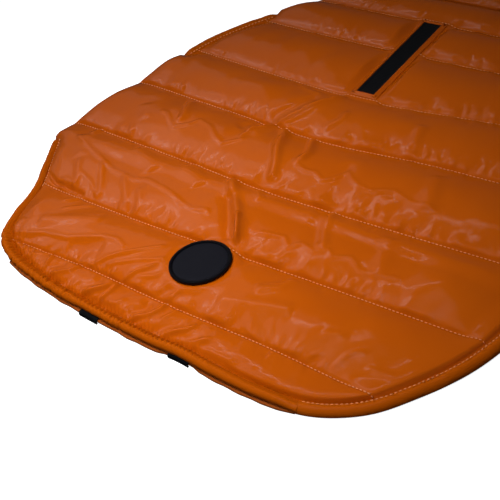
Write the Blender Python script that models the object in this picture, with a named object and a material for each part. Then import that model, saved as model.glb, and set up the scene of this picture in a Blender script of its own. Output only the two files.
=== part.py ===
"""Quilted winter coat for a dog, laid flat with its back up.

X runs across the coat from the spine, Y runs along the back from the tail hem
towards the collar, and Z is up from the surface that the coat lies on. Sizes
are in millimetres. MM turns them into metres when a mesh is made, and the
empty "coat" puts the middle of the whole outline over the origin.

Two layers lie on each other. The under layer, 0 to 3.3 mm, is the belly flaps,
the chest panel and the under half of the collar. The quilted back panel lies
on it with the collar's upper half, and beyond the belly flaps its skirt comes
down to the surface.
"""
import math

import bmesh
import bpy
import numpy as np
from mathutils.geometry import delaunay_2d_cdt

MM = 0.001                  # metres in a millimetre
SEAM_GAP = 0.3              # between two pieces that meet

# Places along the back
SKIRT_END_Y = 150.0         # the skirt lies on the surface up to here
BINDING_END_Y = 159.5       # the skirt's bindings end where its sides begin to fold
FOLD_START_Y = 165.0        # from here the belly flaps are folded under
FOLD_END_Y = 305.0
CHEST_START_Y = 402.0       # between the folds the leg openings' edges are bound
NECK_Y = 470.0
COLLAR_END_Y = 520.0

# Layers
UNDER_LAYER = 3.3           # thickness of the folded flaps
UPPER_BASE = UNDER_LAYER + SEAM_GAP
LAP_LAYER = 1.5             # each belly flap where the two overlap
LAP_HALF = 30.0

# Edge trim
EDGE_TURN = 4.0             # length over which a bound edge turns into a fold
LEG_BINDING_CLEAR = 6.5     # the leg openings' bindings keep this far from the folds
BINDING_WIDTH = 10.0
BINDING_HEIGHT = 6.2
EDGE_STEP = 4.6             # half the spacing of the hem's gathers
PLEATS_PER_GATHER = 1.5     # pleats in the casing for each gather beside it
PLEAT_DEPTH = 0.55
CASING_BASE = 2.7           # the casing lies on the facing
CASING_HEIGHT = 8.8
FACING_HEIGHT = 2.4
TAB_WIDTH = 20.0
TAB_WALL = 1.2
TAB_CENTRES = (-51.0, 43.0)
JOIN_Y = 44.0               # left side, where the binding ends and the casing begins
PINCH_X = 150.0             # tail edge, where the casing ends and the binding begins
FACING_START_X = -162.0     # the facing starts to show here
FACING_REACH = (            # how far the facing shows past the casing: x, reach
    (-162, 2.0), (22, 2.0), (29, 0.6), (57, 0.6), (64, 2.0), (150, 2.0),
)

# Quilting
SEAM_THICKNESS = 4.2
EDGE_THICKNESS = 4.6        # panel where it is sewn into its binding
FOLD_EDGE_THICKNESS = 1.6
EDGE_SOFTNESS = 17.0        # how far in from an edge the padding is full
PUFF_POWER = 2.3
PUFF = (3.6, 7.6, 8.0, 8.0, 7.6, 7.2, 7.0, 6.0)   # loft of each channel, tail to neck
SEAM_STATIONS = (-200.0, -100.0, 0.0, 100.0, 200.0)
SEAMS = (                   # Y of each quilting seam at those five X stations
    (37.0, 41.0, 38.0, 38.0, 34.0),
    (105.0, 104.0, 106.0, 108.5, 110.0),
    (182.5, 178.5, 174.0, 176.0, 179.0),
    (255.5, 250.0, 245.5, 253.5, 256.0),
    (318.0, 311.0, 307.0, 316.5, 328.0),
    (384.0, 381.0, 380.0, 381.0, 384.0),
    (432.0, 430.0, 430.0, 430.0, 432.0),
)

# Tail edge of the coat, from the left fold round the tail to the right fold: x, y
TAIL_EDGE = (
    (-246.5, 165), (-244.5, 152), (-229, 125), (-213, 96), (-204, 62), (-193, 40), (-163, 21),
    (-109, 10), (-55, 5.5), (10, 2.5), (42, 3.4), (74, 1), (118, 0), (158, 5), (191, 23),
    (213, 49), (234, 85), (246, 125), (250, 165),
)
# Sides from the tail edge to the neck: y, left x, right x
SIDE_EDGE = (
    (165, -246.5, 250), (185, -242, 250), (206, -238, 247), (238, -229.5, 238),
    (262, -224, 232), (300, -215.5, 222), (340, -203, 207), (380, -180, 182), (415, -152, 153), (445, -126, 127),
    (470, -112, 113),
)
# Strength of the elastic's gathers along the tail edge: x, strength
GATHERS = (
    (-199, 0.0), (-193, 0.6), (-184, 1.0), (-120, 1.0), (-60, 0.85), (0, 0.7), (50, 0.45),
    (95, 0.2), (150, 0.0),
)
GATHER_DEPTH = 1.5
GATHER_ROWS = (4.0, 9.0, 15.0, 22.0)
GATHER_REACH = 34.0
# Largest folds of the shell: start x, start y, end x, end y, half width, height
FOLDS = (
    (-38, 172, -6, 128, 7, 2.2),
    (-22, 172, 16, 112, 6, -1.8),
    (-58, 246, -18, 303, 7, 2.4),
    (-215, 165, -196, 118, 7, 1.8),
    (-176, 170, -150, 118, 8, 1.6),
    (60, 62, 118, 88, 10, 2.2),
    (110, 18, 168, 40, 9, 1.8),
    (-140, 52, -120, 92, 9, 1.4),
    (30, 190, 60, 238, 9, 1.5),
    (-150, 192, -128, 238, 8, 1.3),
    (120, 190, 150, 236, 9, 1.3),
    (-90, 262, -60, 298, 9, 1.4),
)

# Badge
BADGE_X = 1.0
BADGE_Y = 82.0
BADGE_RADIUS = 25.0
BADGE_HEIGHT = 2.8
BADGE_RIM = 2.6
BADGE_SINK = 0.7
BADGE_SEAT = 10.2           # height of the pressed panel under the badge
BADGE_SLOPE = -0.05         # it leans down towards the seam on its neck side
BADGE_SIDES = 40
SEAT_MARGIN = 1.8
SEAT_BLEND = 15.0

# Lead opening on the spine
WINDOW_X = -1.5
WINDOW_WIDTH = 18.0
WINDOW_START_Y = 313.0
WINDOW_END_Y = 425.0
WELT_WIDTH = 4.6
WELT_HEIGHT = 2.6
TAPE_HEIGHT = 0.9
WINDOW_SEAT = UPPER_BASE + 6.0

# Mesh density
SIDE_STEP = 5.5
COLUMN_STEP = 13.0
ROW_FRACTIONS = (0.07, 0.2, 0.38, 0.62, 0.8, 0.93)
CLEAR_OF_EDGE = 6.0

MATERIALS = {               # linear colour, roughness, metallic
    "shell_nylon": ((0.47, 0.085, 0.006), 0.32, 0.0),
    "edge_nylon": ((0.42, 0.075, 0.006), 0.38, 0.0),
    "facing_nylon": ((0.25, 0.05, 0.008), 0.5, 0.0),
    "badge_rubber": ((0.028, 0.028, 0.034), 0.55, 0.0),
    "black_tape": ((0.012, 0.013, 0.018), 0.8, 0.0),
}


def smooth_step(value):
    """0 to 1, flat at both ends."""
    value = min(max(value, 0.0), 1.0)
    return value * value * (3.0 - 2.0 * value)


def between(a, b, share):
    return a + (b - a) * share


def table_value(table, key, column=1):
    """Straight reading between the rows of a table sorted by its first column."""
    return float(np.interp(key, [row[0] for row in table], [row[column] for row in table]))


def curve_through(points, step):
    """Points about `step` apart, evenly along a smooth curve through the given ones."""
    points = np.array(points, float)
    ends = np.vstack((2 * points[0] - points[1], points, 2 * points[-1] - points[-2]))
    fine = []
    for i in range(1, len(ends) - 2):
        p0, p1, p2, p3 = ends[i - 1:i + 3]
        for t in np.linspace(0.0, 1.0, 24, endpoint=False):
            fine.append(0.5 * (2 * p1 + (p2 - p0) * t + (2 * p0 - 5 * p1 + 4 * p2 - p3) * t * t
                               + (3 * p1 - p0 - 3 * p2 + p3) * t ** 3))
    fine.append(points[-1])
    fine = np.array(fine)
    reach = np.concatenate(([0.0], np.cumsum(np.linalg.norm(np.diff(fine, axis=0), axis=1))))
    count = max(2, round(reach[-1] / step) + 1)
    places = np.linspace(0.0, reach[-1], count)
    return np.stack([np.interp(places, reach, fine[:, i]) for i in (0, 1)], axis=1)


def inward(points, closed=False):
    """Unit vectors to the left of a path, which is the inside of an outline run tail first."""
    if closed:
        run = np.roll(points, -1, axis=0) - np.roll(points, 1, axis=0)
    else:
        run = np.gradient(points, axis=0)
    run = run / np.linalg.norm(run, axis=1)[:, None]
    return np.stack((-run[:, 1], run[:, 0]), axis=1)


def side_curve(column, y0, y1, step):
    """Side edge between two heights of Y, tail end first; column 1 is left, 2 is right."""
    whole = curve_through([(row[column], row[0]) for row in SIDE_EDGE], 2.0)
    count = max(2, round((y1 - y0) / step) + 1)
    heights = np.linspace(y0, y1, count)
    return np.stack((np.interp(heights, whole[:, 1], whole[:, 0]), heights), axis=1)


def seam_y(seam, x):
    """Y of a quilting seam at x, on a smooth curve through its stations."""
    spacing = SEAM_STATIONS[1] - SEAM_STATIONS[0]
    place = min(max((x - SEAM_STATIONS[0]) / spacing, 0.0), len(seam) - 1.001)
    i = int(place)
    t = place - i
    before = seam[i - 1] if i > 0 else 2 * seam[i] - seam[i + 1]
    after = seam[i + 2] if i + 2 < len(seam) else 2 * seam[i + 1] - seam[i]
    slope_a = (seam[i + 1] - before) / 2
    slope_b = (after - seam[i]) / 2
    return ((2 * t ** 3 - 3 * t * t + 1) * seam[i] + (t ** 3 - 2 * t * t + t) * slope_a
            + (3 * t * t - 2 * t ** 3) * seam[i + 1] + (t ** 3 - t * t) * slope_b)


def inset_at(y):
    """How far the back panel's edge lies inside the coat's: bound edges, then folds."""
    full = BINDING_WIDTH + SEAM_GAP
    skirt = 1.0 - smooth_step((y - BINDING_END_Y - 1.0) / EDGE_TURN)
    leg = (smooth_step((y - FOLD_END_Y) / EDGE_TURN)
           * smooth_step((CHEST_START_Y - y) / EDGE_TURN))
    return full * max(skirt, leg)


def base_at(y):
    """Height of the back panel's plain underside."""
    return UPPER_BASE * smooth_step((y - SKIRT_END_Y) / (FOLD_START_Y - SKIRT_END_Y))


class BackPanel:
    """The quilted panel: its outline, its thickness at any point, and its closed wall."""

    def __init__(self):
        tail = curve_through(TAIL_EDGE, EDGE_STEP)
        right = side_curve(2, TAIL_EDGE[-1][1], NECK_Y, SIDE_STEP)[1:]
        left = side_curve(1, TAIL_EDGE[0][1], NECK_Y, SIDE_STEP)[::-1]
        neck_x = np.linspace(right[-1][0], left[0][0], 18)[1:-1]
        neck = np.stack((neck_x, np.full(len(neck_x), NECK_Y)), axis=1)
        self.tail_count = len(tail)
        self.join_place = int((tail[:, 1] > JOIN_Y).argmin())
        outer = np.vstack((tail, right, neck, left[:-1]))
        self.side = inward(outer, closed=True)
        self.inset = np.array([inset_at(y) if y < NECK_Y - 1.0 else 0.0 for x, y in outer])
        self.edge = outer + self.side * self.inset[:, None]
        self.next_edge = np.roll(self.edge, -1, axis=0)

    def nearest(self, x, y):
        """Distance to the edge, how far that edge is bound (0 to 1), its place and its x."""
        run = self.next_edge - self.edge
        along = ((x - self.edge[:, 0]) * run[:, 0] + (y - self.edge[:, 1]) * run[:, 1])
        along = np.clip(along / (run ** 2).sum(axis=1), 0.0, 1.0)
        foot = self.edge + run * along[:, None]
        distance = np.hypot(foot[:, 0] - x, foot[:, 1] - y)
        i = int(distance.argmin())
        bound = self.inset[i] / (BINDING_WIDTH + SEAM_GAP)
        return float(distance[i]), bound, i + float(along[i]), float(foot[i][0])

    def loft(self, x, y, distance):
        """Height of the padding over the seams' level, before edges, folds and gathers."""
        heights = [seam_y(seam, x) for seam in SEAMS] + [NECK_Y]
        for channel, top in enumerate(heights):
            if y <= top:
                break
        if channel == 0:
            share = distance / max(distance + top - y, 0.001)
        else:
            share = (y - heights[channel - 1]) / (top - heights[channel - 1])
        share = min(max(share, 0.0), 1.0)
        return PUFF[channel] * (1.0 - abs(2.0 * share - 1.0) ** PUFF_POWER)

    def folds(self, x, y):
        """Sum of the soft ridges and troughs at a point."""
        total = 0.0
        for x0, y0, x1, y1, half_width, height in FOLDS:
            length = math.hypot(x1 - x0, y1 - y0)
            along = ((x - x0) * (x1 - x0) + (y - y0) * (y1 - y0)) / length ** 2
            across = ((x - x0) * (y1 - y0) - (y - y0) * (x1 - x0)) / length
            if 0.0 < along < 1.0:
                fade = math.sin(math.pi * along)
                total += height * fade * math.exp(-(across / half_width) ** 2)
        return total

    def gather_strength(self, place, x):
        """Pull of the hem's elastic at a place on the edge, 0 where the edge isn't gathered."""
        if place > self.tail_count or place < self.join_place:
            return 0.0
        return table_value(GATHERS, x)

    def gather(self, distance, place, foot_x):
        """Ridges that the elastic draws up across the hem."""
        if distance > GATHER_REACH:
            return 0.0
        strength = self.gather_strength(place, foot_x)
        fade = (1.0 - distance / GATHER_REACH) * smooth_step((distance + 2.0) / 6.0)
        return GATHER_DEPTH * strength * fade * math.cos(math.pi * place)

    def pressed(self, x, y):
        """Share (0 to 1) and height of the flat seats under the badge and the opening."""
        gap = math.hypot(x - BADGE_X, y - BADGE_Y) - BADGE_RADIUS - SEAT_MARGIN
        badge = 1.0 - smooth_step((gap - 0.05) / SEAT_BLEND)
        half = WINDOW_WIDTH / 2 + WELT_WIDTH + SEAM_GAP
        beside = abs(x - WINDOW_X) - half
        beyond = max(WINDOW_START_Y - WELT_WIDTH - SEAM_GAP - y,
                     y - WINDOW_END_Y - WELT_WIDTH - SEAM_GAP)
        window = 1.0 - smooth_step((max(beside, beyond) - 0.05) / SEAT_BLEND)
        if badge > 0.0:
            return badge, BADGE_SEAT + BADGE_SLOPE * (y - BADGE_Y)
        return window, WINDOW_SEAT

    def top(self, x, y):
        """Height of the panel's outer face."""
        distance, bound, place, foot_x = self.nearest(x, y)
        inner = SEAM_THICKNESS + self.loft(x, y, distance) + self.folds(x, y)
        reach = min(distance / EDGE_SOFTNESS, 1.0)
        sewn = between(EDGE_THICKNESS, inner, smooth_step(reach))
        rolled = between(FOLD_EDGE_THICKNESS, inner, math.sqrt(1.0 - (1.0 - reach) ** 2))
        height = base_at(y) + between(rolled, sewn, bound)
        height += self.gather(distance, place, foot_x)
        share, seat = self.pressed(x, y)
        return between(height, seat, share)

    def seat_outlines(self):
        """Closed outlines of the two pressed seats, kept as edges of the mesh."""
        turn = 2 * math.pi / BADGE_SIDES
        radius = BADGE_RADIUS + SEAT_MARGIN
        circle = [(BADGE_X + radius * math.cos(turn * i), BADGE_Y + radius * math.sin(turn * i))
                  for i in range(BADGE_SIDES)]
        half = WINDOW_WIDTH / 2 + WELT_WIDTH + SEAM_GAP
        low = WINDOW_START_Y - WELT_WIDTH - SEAM_GAP
        high = WINDOW_END_Y + WELT_WIDTH + SEAM_GAP
        heights = np.linspace(low, high, 9)
        frame = [(WINDOW_X + half, y) for y in heights]
        frame += [(WINDOW_X - half, y) for y in heights[::-1]]
        return circle, frame

    def in_seat(self, x, y, margin):
        share, _ = self.pressed(x, y)
        near_badge = math.hypot(x - BADGE_X, y - BADGE_Y) < BADGE_RADIUS + SEAT_MARGIN + margin
        half = WINDOW_WIDTH / 2 + WELT_WIDTH + margin
        near_window = (abs(x - WINDOW_X) < half and WINDOW_START_Y - WELT_WIDTH - margin < y
                       < WINDOW_END_Y + WELT_WIDTH + margin)
        return share > 0.0 and (near_badge or near_window)

    def inner_points(self):
        """Points of the outer face inside its edge, and the seams as chains of them."""
        points = []
        chains = []
        for outline in self.seat_outlines():
            first = len(points)
            points += outline
            ring = list(range(first, len(points)))
            chains.append(ring + ring[:1])
        for i in range(0, self.tail_count):
            if self.gather_strength(i, self.edge[i][0]) < 0.05:
                continue
            for distance in GATHER_ROWS:
                x, y = self.edge[i] + self.side[i] * distance
                clear = min(abs(y - seam_y(seam, x)) for seam in SEAMS) > 3.0
                if clear and self.nearest(x, y)[0] > distance - 0.8:
                    points.append((x, y))
        for seam in SEAMS:
            chain = []
            for x in np.arange(-245.0, 246.0, COLUMN_STEP):
                y = seam_y(seam, x)
                inside = self.inside(x, y) and self.nearest(x, y)[0] > CLEAR_OF_EDGE / 2
                if inside and not self.in_seat(x, y, 4.0):
                    points.append((x, y))
                    chain.append(len(points) - 1)
                elif chain:
                    chains.append(chain)
                    chain = []
            chains.append(chain)
        for channel in range(1, len(SEAMS) + 1):
            for share in ROW_FRACTIONS:
                for x in np.arange(-245.0, 246.0, COLUMN_STEP):
                    high = seam_y(SEAMS[channel], x) if channel < len(SEAMS) else NECK_Y
                    y = between(seam_y(SEAMS[channel - 1], x), high, share)
                    if self.free(x, y):
                        points.append((x, y))
        return points, chains

    def free(self, x, y):
        """True where a channel point keeps clear of the edge, the gathers and the seats."""
        if not self.inside(x, y) or self.in_seat(x, y, 4.0):
            return False
        distance, _, place, foot_x = self.nearest(x, y)
        gathered = self.gather_strength(place, foot_x) >= 0.05
        return distance > (GATHER_ROWS[-1] + 4.0 if gathered else CLEAR_OF_EDGE)

    def inside(self, x, y):
        """Ray test against the panel's edge."""
        y0, y1 = self.edge[:, 1], self.next_edge[:, 1]
        x0, x1 = self.edge[:, 0], self.next_edge[:, 0]
        crosses = (y0 > y) != (y1 > y)
        rise = np.where(crosses, y1 - y0, 1.0)
        return int((crosses & (x < x0 + (y - y0) * (x1 - x0) / rise)).sum()) % 2 == 1

    def face(self, points, chains, height):
        """Triangles over the outline, with the height of every point."""
        count = len(self.edge)
        flat = [tuple(p) for p in self.edge] + [tuple(p) for p in points]
        edges = [(i, (i + 1) % count) for i in range(count)]
        for chain in chains:
            edges += [(count + a, count + b) for a, b in zip(chain, chain[1:])]
        flat = [(float(x), float(y)) for x, y in flat]
        spots, _, triangles, origins, _, _ = delaunay_2d_cdt(flat, edges, [], 1, 0.001)
        place = {}
        for i, source in enumerate(origins):
            for j in source:
                place[j] = i
        corners = [(x, y, height(x, y)) for x, y in spots]
        return corners, [tuple(t) for t in triangles], [place[i] for i in range(count)]

    def wall(self):
        """Closed wall: puffed outer face, plain underside, and the edge between them."""
        points, chains = self.inner_points()
        top, top_faces, top_edge = self.face(points, chains, self.top)
        rows = []
        marks = []
        for y in (SKIRT_END_Y, FOLD_START_Y):
            first = len(rows)
            rows += [(x, y) for x in np.arange(-220.0, 221.0, 22.0)]
            marks.append(list(range(first, len(rows))))
        low, low_faces, low_edge = self.face(rows, marks, lambda x, y: base_at(y))
        shift = len(top)
        faces = top_faces + [tuple(shift + i for i in reversed(face)) for face in low_faces]
        count = len(top_edge)
        for i in range(count):
            j = (i + 1) % count
            faces.append((top_edge[i], shift + low_edge[i], shift + low_edge[j], top_edge[j]))
        return top + low, faces


def make_material(name):
    colour, roughness, metallic = MATERIALS[name]
    material = bpy.data.materials.new(name)
    material.use_nodes = True
    shader = material.node_tree.nodes["Principled BSDF"]
    shader.inputs["Base Color"].default_value = (*colour, 1.0)
    shader.inputs["Roughness"].default_value = roughness
    shader.inputs["Metallic"].default_value = metallic
    return material


def add_piece(name, points, faces, material, coat, sharp=40.0):
    """A named object from points in millimetres, its faces turned outwards."""
    mesh = bpy.data.meshes.new(name)
    mesh.from_pydata([tuple(float(c) * MM for c in p) for p in points], [], faces)
    shape = bmesh.new()
    shape.from_mesh(mesh)
    bmesh.ops.recalc_face_normals(shape, faces=shape.faces)
    shape.to_mesh(mesh)
    shape.free()
    mesh.materials.append(make_material(material))
    mesh.shade_smooth()
    mesh.set_sharp_from_angle(angle=math.radians(sharp))
    piece = bpy.data.objects.new(name, mesh)
    bpy.context.collection.objects.link(piece)
    piece.parent = coat
    return piece


def sweep(path, side, sections, closed=False):
    """Solid swept along a path. Each section lists (distance inwards, height)."""
    points = []
    for spot, inner, section in zip(path, side, sections):
        points += [(spot[0] + inner[0] * n, spot[1] + inner[1] * n, z) for n, z in section]
    size = len(sections[0])
    turns = len(path) if closed else len(path) - 1
    faces = []
    for i in range(turns):
        a = i * size
        b = ((i + 1) % len(path)) * size
        for k in range(size):
            m = (k + 1) % size
            faces.append((a + k, b + k, b + m, a + m))
    if not closed:
        faces.append(tuple(range(size)))
        faces.append(tuple(reversed(range(a + size, a + 2 * size))))
    return points, faces


def slab(rows, low, high):
    """Solid over a grid of (x, y) rows, with functions for its two faces' heights."""
    count = len(rows)
    across = len(rows[0])
    points = []
    for height in (low, high):
        for i, row in enumerate(rows):
            points += [(x, y, height(i, j)) for j, (x, y) in enumerate(row)]
    size = count * across
    faces = []
    for i in range(count - 1):
        for j in range(across - 1):
            a = i * across + j
            faces.append((a, a + 1, a + across + 1, a + across))
            faces.append((size + a, size + a + across, size + a + across + 1, size + a + 1))
    rim = [j for j in range(across)]
    rim += [i * across + across - 1 for i in range(1, count)]
    rim += [(count - 1) * across + j for j in range(across - 2, -1, -1)]
    rim += [i * across for i in range(count - 2, 0, -1)]
    for a, b in zip(rim, rim[1:] + rim[:1]):
        faces.append((a, b, size + b, size + a))
    return points, faces


def binding_section(base, fullness):
    """Rounded binding, listed from its outer foot over its back to its inner foot."""
    heights = ((0.7, 0.0), (0.0, 0.24), (0.3, 0.62), (1.9, 0.9), (4.8, 1.0), (8.2, 0.92),
               (BINDING_WIDTH, 0.72), (BINDING_WIDTH, 0.0))
    return [(n, base + BINDING_HEIGHT * fullness * share) for n, share in heights]


def casing_section(pull):
    """Elastic hem casing; pull is -1 to 1 between a pleat's hollow and its crest."""
    top = CASING_HEIGHT + pull
    return [(2.2, CASING_BASE), (0.6 - 0.5 * pull, CASING_BASE + 0.9),
            (0.2 - 0.6 * pull, CASING_BASE + 2.6), (1.6, top - 0.7), (4.6, top),
            (7.9, top - 0.6), (BINDING_WIDTH, CASING_HEIGHT - 2.0), (BINDING_WIDTH, CASING_BASE)]


def facing_section(x):
    reach = -table_value(FACING_REACH, x)
    return [(BINDING_WIDTH - 0.5, 0.0), (reach + 0.7, 0.0), (reach, 0.7),
            (reach, FACING_HEIGHT - 0.7), (reach + 0.7, FACING_HEIGHT),
            (BINDING_WIDTH - 0.5, FACING_HEIGHT)]


def tab_section(centre):
    """Tape folded over the facing's lip: a top leaf and a front leaf."""
    inside = -table_value(FACING_REACH, centre) - SEAM_GAP
    outside = inside - TAB_WALL
    under = FACING_HEIGHT + SEAM_GAP
    top = under + TAB_WALL
    return [(-SEAM_GAP - 0.4, under), (inside, under), (inside, 0.0), (outside, 0.0),
            (outside, top - 0.8), (outside + 0.8, top), (-SEAM_GAP - 0.4, top)]


def tail_path(start, end, step):
    """Stretch of the coat's tail edge, between two shares of its length."""
    whole = curve_through(TAIL_EDGE, 1.0)
    side = inward(whole)
    count = max(2, round((end - start) * len(whole) / step))
    places = np.linspace(start, end, count) * (len(whole) - 1)
    index = np.arange(len(whole))
    path = np.stack([np.interp(places, index, whole[:, i]) for i in (0, 1)], axis=1)
    side = np.stack([np.interp(places, index, side[:, i]) for i in (0, 1)], axis=1)
    return path, side / np.linalg.norm(side, axis=1)[:, None]


def tail_share(test):
    """Share of the tail edge's length at which a test on (x, y) first holds."""
    whole = curve_through(TAIL_EDGE, 1.0)
    for i, (x, y) in enumerate(whole):
        if test(x, y):
            return i / (len(whole) - 1)
    raise ValueError("no such place on the tail edge")


def add_edges(coat):
    """Bindings, the gathered hem casing, its facing and the two tabs."""
    joint = 0.0003
    first = tail_share(lambda x, y: y < BINDING_END_Y)
    join = tail_share(lambda x, y: y < JOIN_Y)
    pinch = tail_share(lambda x, y: x > PINCH_X)
    last = tail_share(lambda x, y: x > 200.0 and y > BINDING_END_Y)
    for name, start, end in (("edge_binding_left", first, join - joint),
                             ("edge_binding_right", pinch + joint, last)):
        path, side = tail_path(start, end, 7.0)
        tapers = [smooth_step(0.55 + (BINDING_END_Y - y) / 15.0) for x, y in path]
        sections = [binding_section(0.0, taper) for taper in tapers]
        add_piece(name, *sweep(path, side, sections), "edge_nylon", coat)
    path, side = tail_path(join + joint, pinch - joint, EDGE_STEP / PLEATS_PER_GATHER)
    sections = []
    for i, (x, y) in enumerate(path):
        ends = min(1.0, i / 4.0, (len(path) - 1 - i) / 4.0)
        pull = PLEAT_DEPTH * between(0.35, 1.0, table_value(GATHERS, x)) * ends
        sections.append(casing_section(pull * (-1) ** i))
    add_piece("hem_casing", *sweep(path, side, sections), "edge_nylon", coat)
    start = tail_share(lambda x, y: x > FACING_START_X and y < JOIN_Y)
    path, side = tail_path(start, pinch - 0.004, 6.0)
    add_piece("hem_facing", *sweep(path, side, [facing_section(x) for x, y in path]),
              "facing_nylon", coat)
    for name, centre in zip(("hem_tab_left", "hem_tab_right"), TAB_CENTRES):
        start = tail_share(lambda x, y: x > centre - TAB_WIDTH / 2)
        end = tail_share(lambda x, y: x > centre + TAB_WIDTH / 2)
        path, side = tail_path(start, end, 4.0)
        sections = [tab_section(centre)] * len(path)
        add_piece(name, *sweep(path, side, sections), "black_tape", coat)
    for name, column in (("leg_binding_left", 1), ("leg_binding_right", 2)):
        path = side_curve(column, FOLD_END_Y + LEG_BINDING_CLEAR,
                          CHEST_START_Y - LEG_BINDING_CLEAR, 7.0)
        side = inward(path) * (-1 if column == 1 else 1)
        ends = [min(y - path[0][1], path[-1][1] - y) for x, y in path]
        sections = [binding_section(UPPER_BASE, smooth_step(0.5 + end / 14.0)) for end in ends]
        add_piece(name, *sweep(path, side, sections), "edge_nylon", coat)


def add_belly_flaps(coat):
    """Two flaps folded under from the sides, each half as thick where they overlap."""
    soft = 1.5
    shares = (0.0, 0.02, 0.25, 0.5, 0.75, 0.98, 1.0)
    for name, column, sign in (("belly_flap_left", 1, 1), ("belly_flap_right", 2, -1)):
        start = FOLD_START_Y + 1.5
        edge = side_curve(column, start, FOLD_END_Y - 1.5, 1.0)
        rows = []
        lows = []
        highs = []
        for share in (0.0, 0.006, 0.15, 0.3, 0.5, 0.7, 0.85, 1.0):
            row = []
            for across in shares:
                x, y = edge[round(across * (len(edge) - 1))]
                end_x = -sign * (LAP_HALF + 1.5)
                end_y = between(186.0, 283.0, across)
                bend = share ** 1.4
                row.append((between(x, end_x, share), between(y, end_y, bend)))
            rows.append(row)
            lows.append(0.0)
            highs.append(UNDER_LAYER)
        for x in (-LAP_HALF - 0.3, 0.0, LAP_HALF - 1.0, LAP_HALF):
            rows.append([(sign * x, between(186.0, 283.0, across)) for across in shares])
            lows.append(UNDER_LAYER - LAP_LAYER if sign > 0 else 0.0)
            highs.append(UNDER_LAYER if sign > 0 else LAP_LAYER)
        last = len(shares) - 1

        def low(i, j):
            return lows[i]

        def high(i, j):
            rounded = soft if i == 0 or (j in (0, last) and i < len(rows) - 4) else 0.0
            return highs[i] - rounded

        add_piece(name, *slab(rows, low, high), "edge_nylon", coat)


def cross_rows(y0, y1, count, inset, xs):
    """Rows across the coat between its side edges."""
    left = side_curve(1, y0, y1, (y1 - y0) / (count - 1))
    right = side_curve(2, y0, y1, (y1 - y0) / (count - 1))
    rows = []
    for (x0, y), (x1, _) in zip(left, right):
        rows.append([(between(x0 + inset, x1 - inset, share), y) for share in xs])
    return rows


def add_front(coat):
    """Chest panel under the shoulders, and the collar's two halves."""
    shares = (0.0, 0.008, 0.1, 0.3, 0.5, 0.7, 0.9, 0.992, 1.0)
    rows = cross_rows(CHEST_START_Y + 1.0, NECK_Y - SEAM_GAP, 7, 0.0, shares)
    last = len(shares) - 1

    def flat(i, j):
        return 0.0

    def chest_top(i, j):
        return UNDER_LAYER - (1.5 if j in (0, last) or i == 0 else 0.0)

    add_piece("chest_panel", *slab(rows, flat, chest_top), "edge_nylon", coat)

    steps = (0.0, 0.04, 0.14, 0.3, 0.5, 0.7, 0.86, 0.96, 1.0)
    xs = [0.0, 0.012, 0.04, 0.09] + [k / 12 for k in range(2, 11)] + [0.91, 0.96, 0.988, 1.0]
    start = NECK_Y + SEAM_GAP
    rows = []
    for step in steps:
        half = between(112.5, 107.0, step)
        y = between(start, COLLAR_END_Y, step)
        rows.append([(between(-half, half + 1.0, x), y) for x in xs])
    end = len(xs) - 1

    def under_top(i, j):
        return UNDER_LAYER - (1.5 if j in (0, end) or i == len(steps) - 1 else 0.0)

    def upper_low(i, j):
        return UPPER_BASE

    def upper_top(i, j):
        reach = min(xs[j], 1.0 - xs[j]) / 0.09
        roll = math.sqrt(1.0 - (1.0 - min(reach, 1.0)) ** 2)
        ring = 1.0 - abs(2.0 * steps[i] - 1.0) ** PUFF_POWER
        tip = between(EDGE_THICKNESS, 2.0, smooth_step((steps[i] - 0.86) / 0.14))
        return UPPER_BASE + between(FOLD_EDGE_THICKNESS, tip + 5.5 * ring, roll)

    add_piece("collar_under", *slab(rows, flat, under_top), "edge_nylon", coat)
    add_piece("collar_upper", *slab(rows, upper_low, upper_top), "shell_nylon", coat)


def add_badge(coat):
    """Moulded round badge: a disc with a raised rim round a plain sunk face."""
    base = BADGE_SEAT + SEAM_GAP
    top = base + BADGE_HEIGHT
    profile = [(BADGE_RADIUS - 0.8, base), (BADGE_RADIUS, base + 0.8),
               (BADGE_RADIUS, top - 0.6), (BADGE_RADIUS - 0.6, top),
               (BADGE_RADIUS - BADGE_RIM, top),
               (BADGE_RADIUS - BADGE_RIM - 0.5, top - BADGE_SINK)]
    points = []
    for i in range(BADGE_SIDES):
        angle = 2 * math.pi * i / BADGE_SIDES
        lean = BADGE_SLOPE * math.sin(angle)
        points += [(BADGE_X + r * math.cos(angle), BADGE_Y + r * math.sin(angle), z + r * lean)
                   for r, z in profile]
    size = len(profile)
    faces = []
    for i in range(BADGE_SIDES):
        a = i * size
        b = ((i + 1) % BADGE_SIDES) * size
        faces += [(a + k, b + k, b + k + 1, a + k + 1) for k in range(size - 1)]
    faces.append(tuple(i * size for i in reversed(range(BADGE_SIDES))))
    faces.append(tuple(i * size + size - 1 for i in range(BADGE_SIDES)))
    add_piece("badge", points, faces, "badge_rubber", coat, sharp=30.0)


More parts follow.
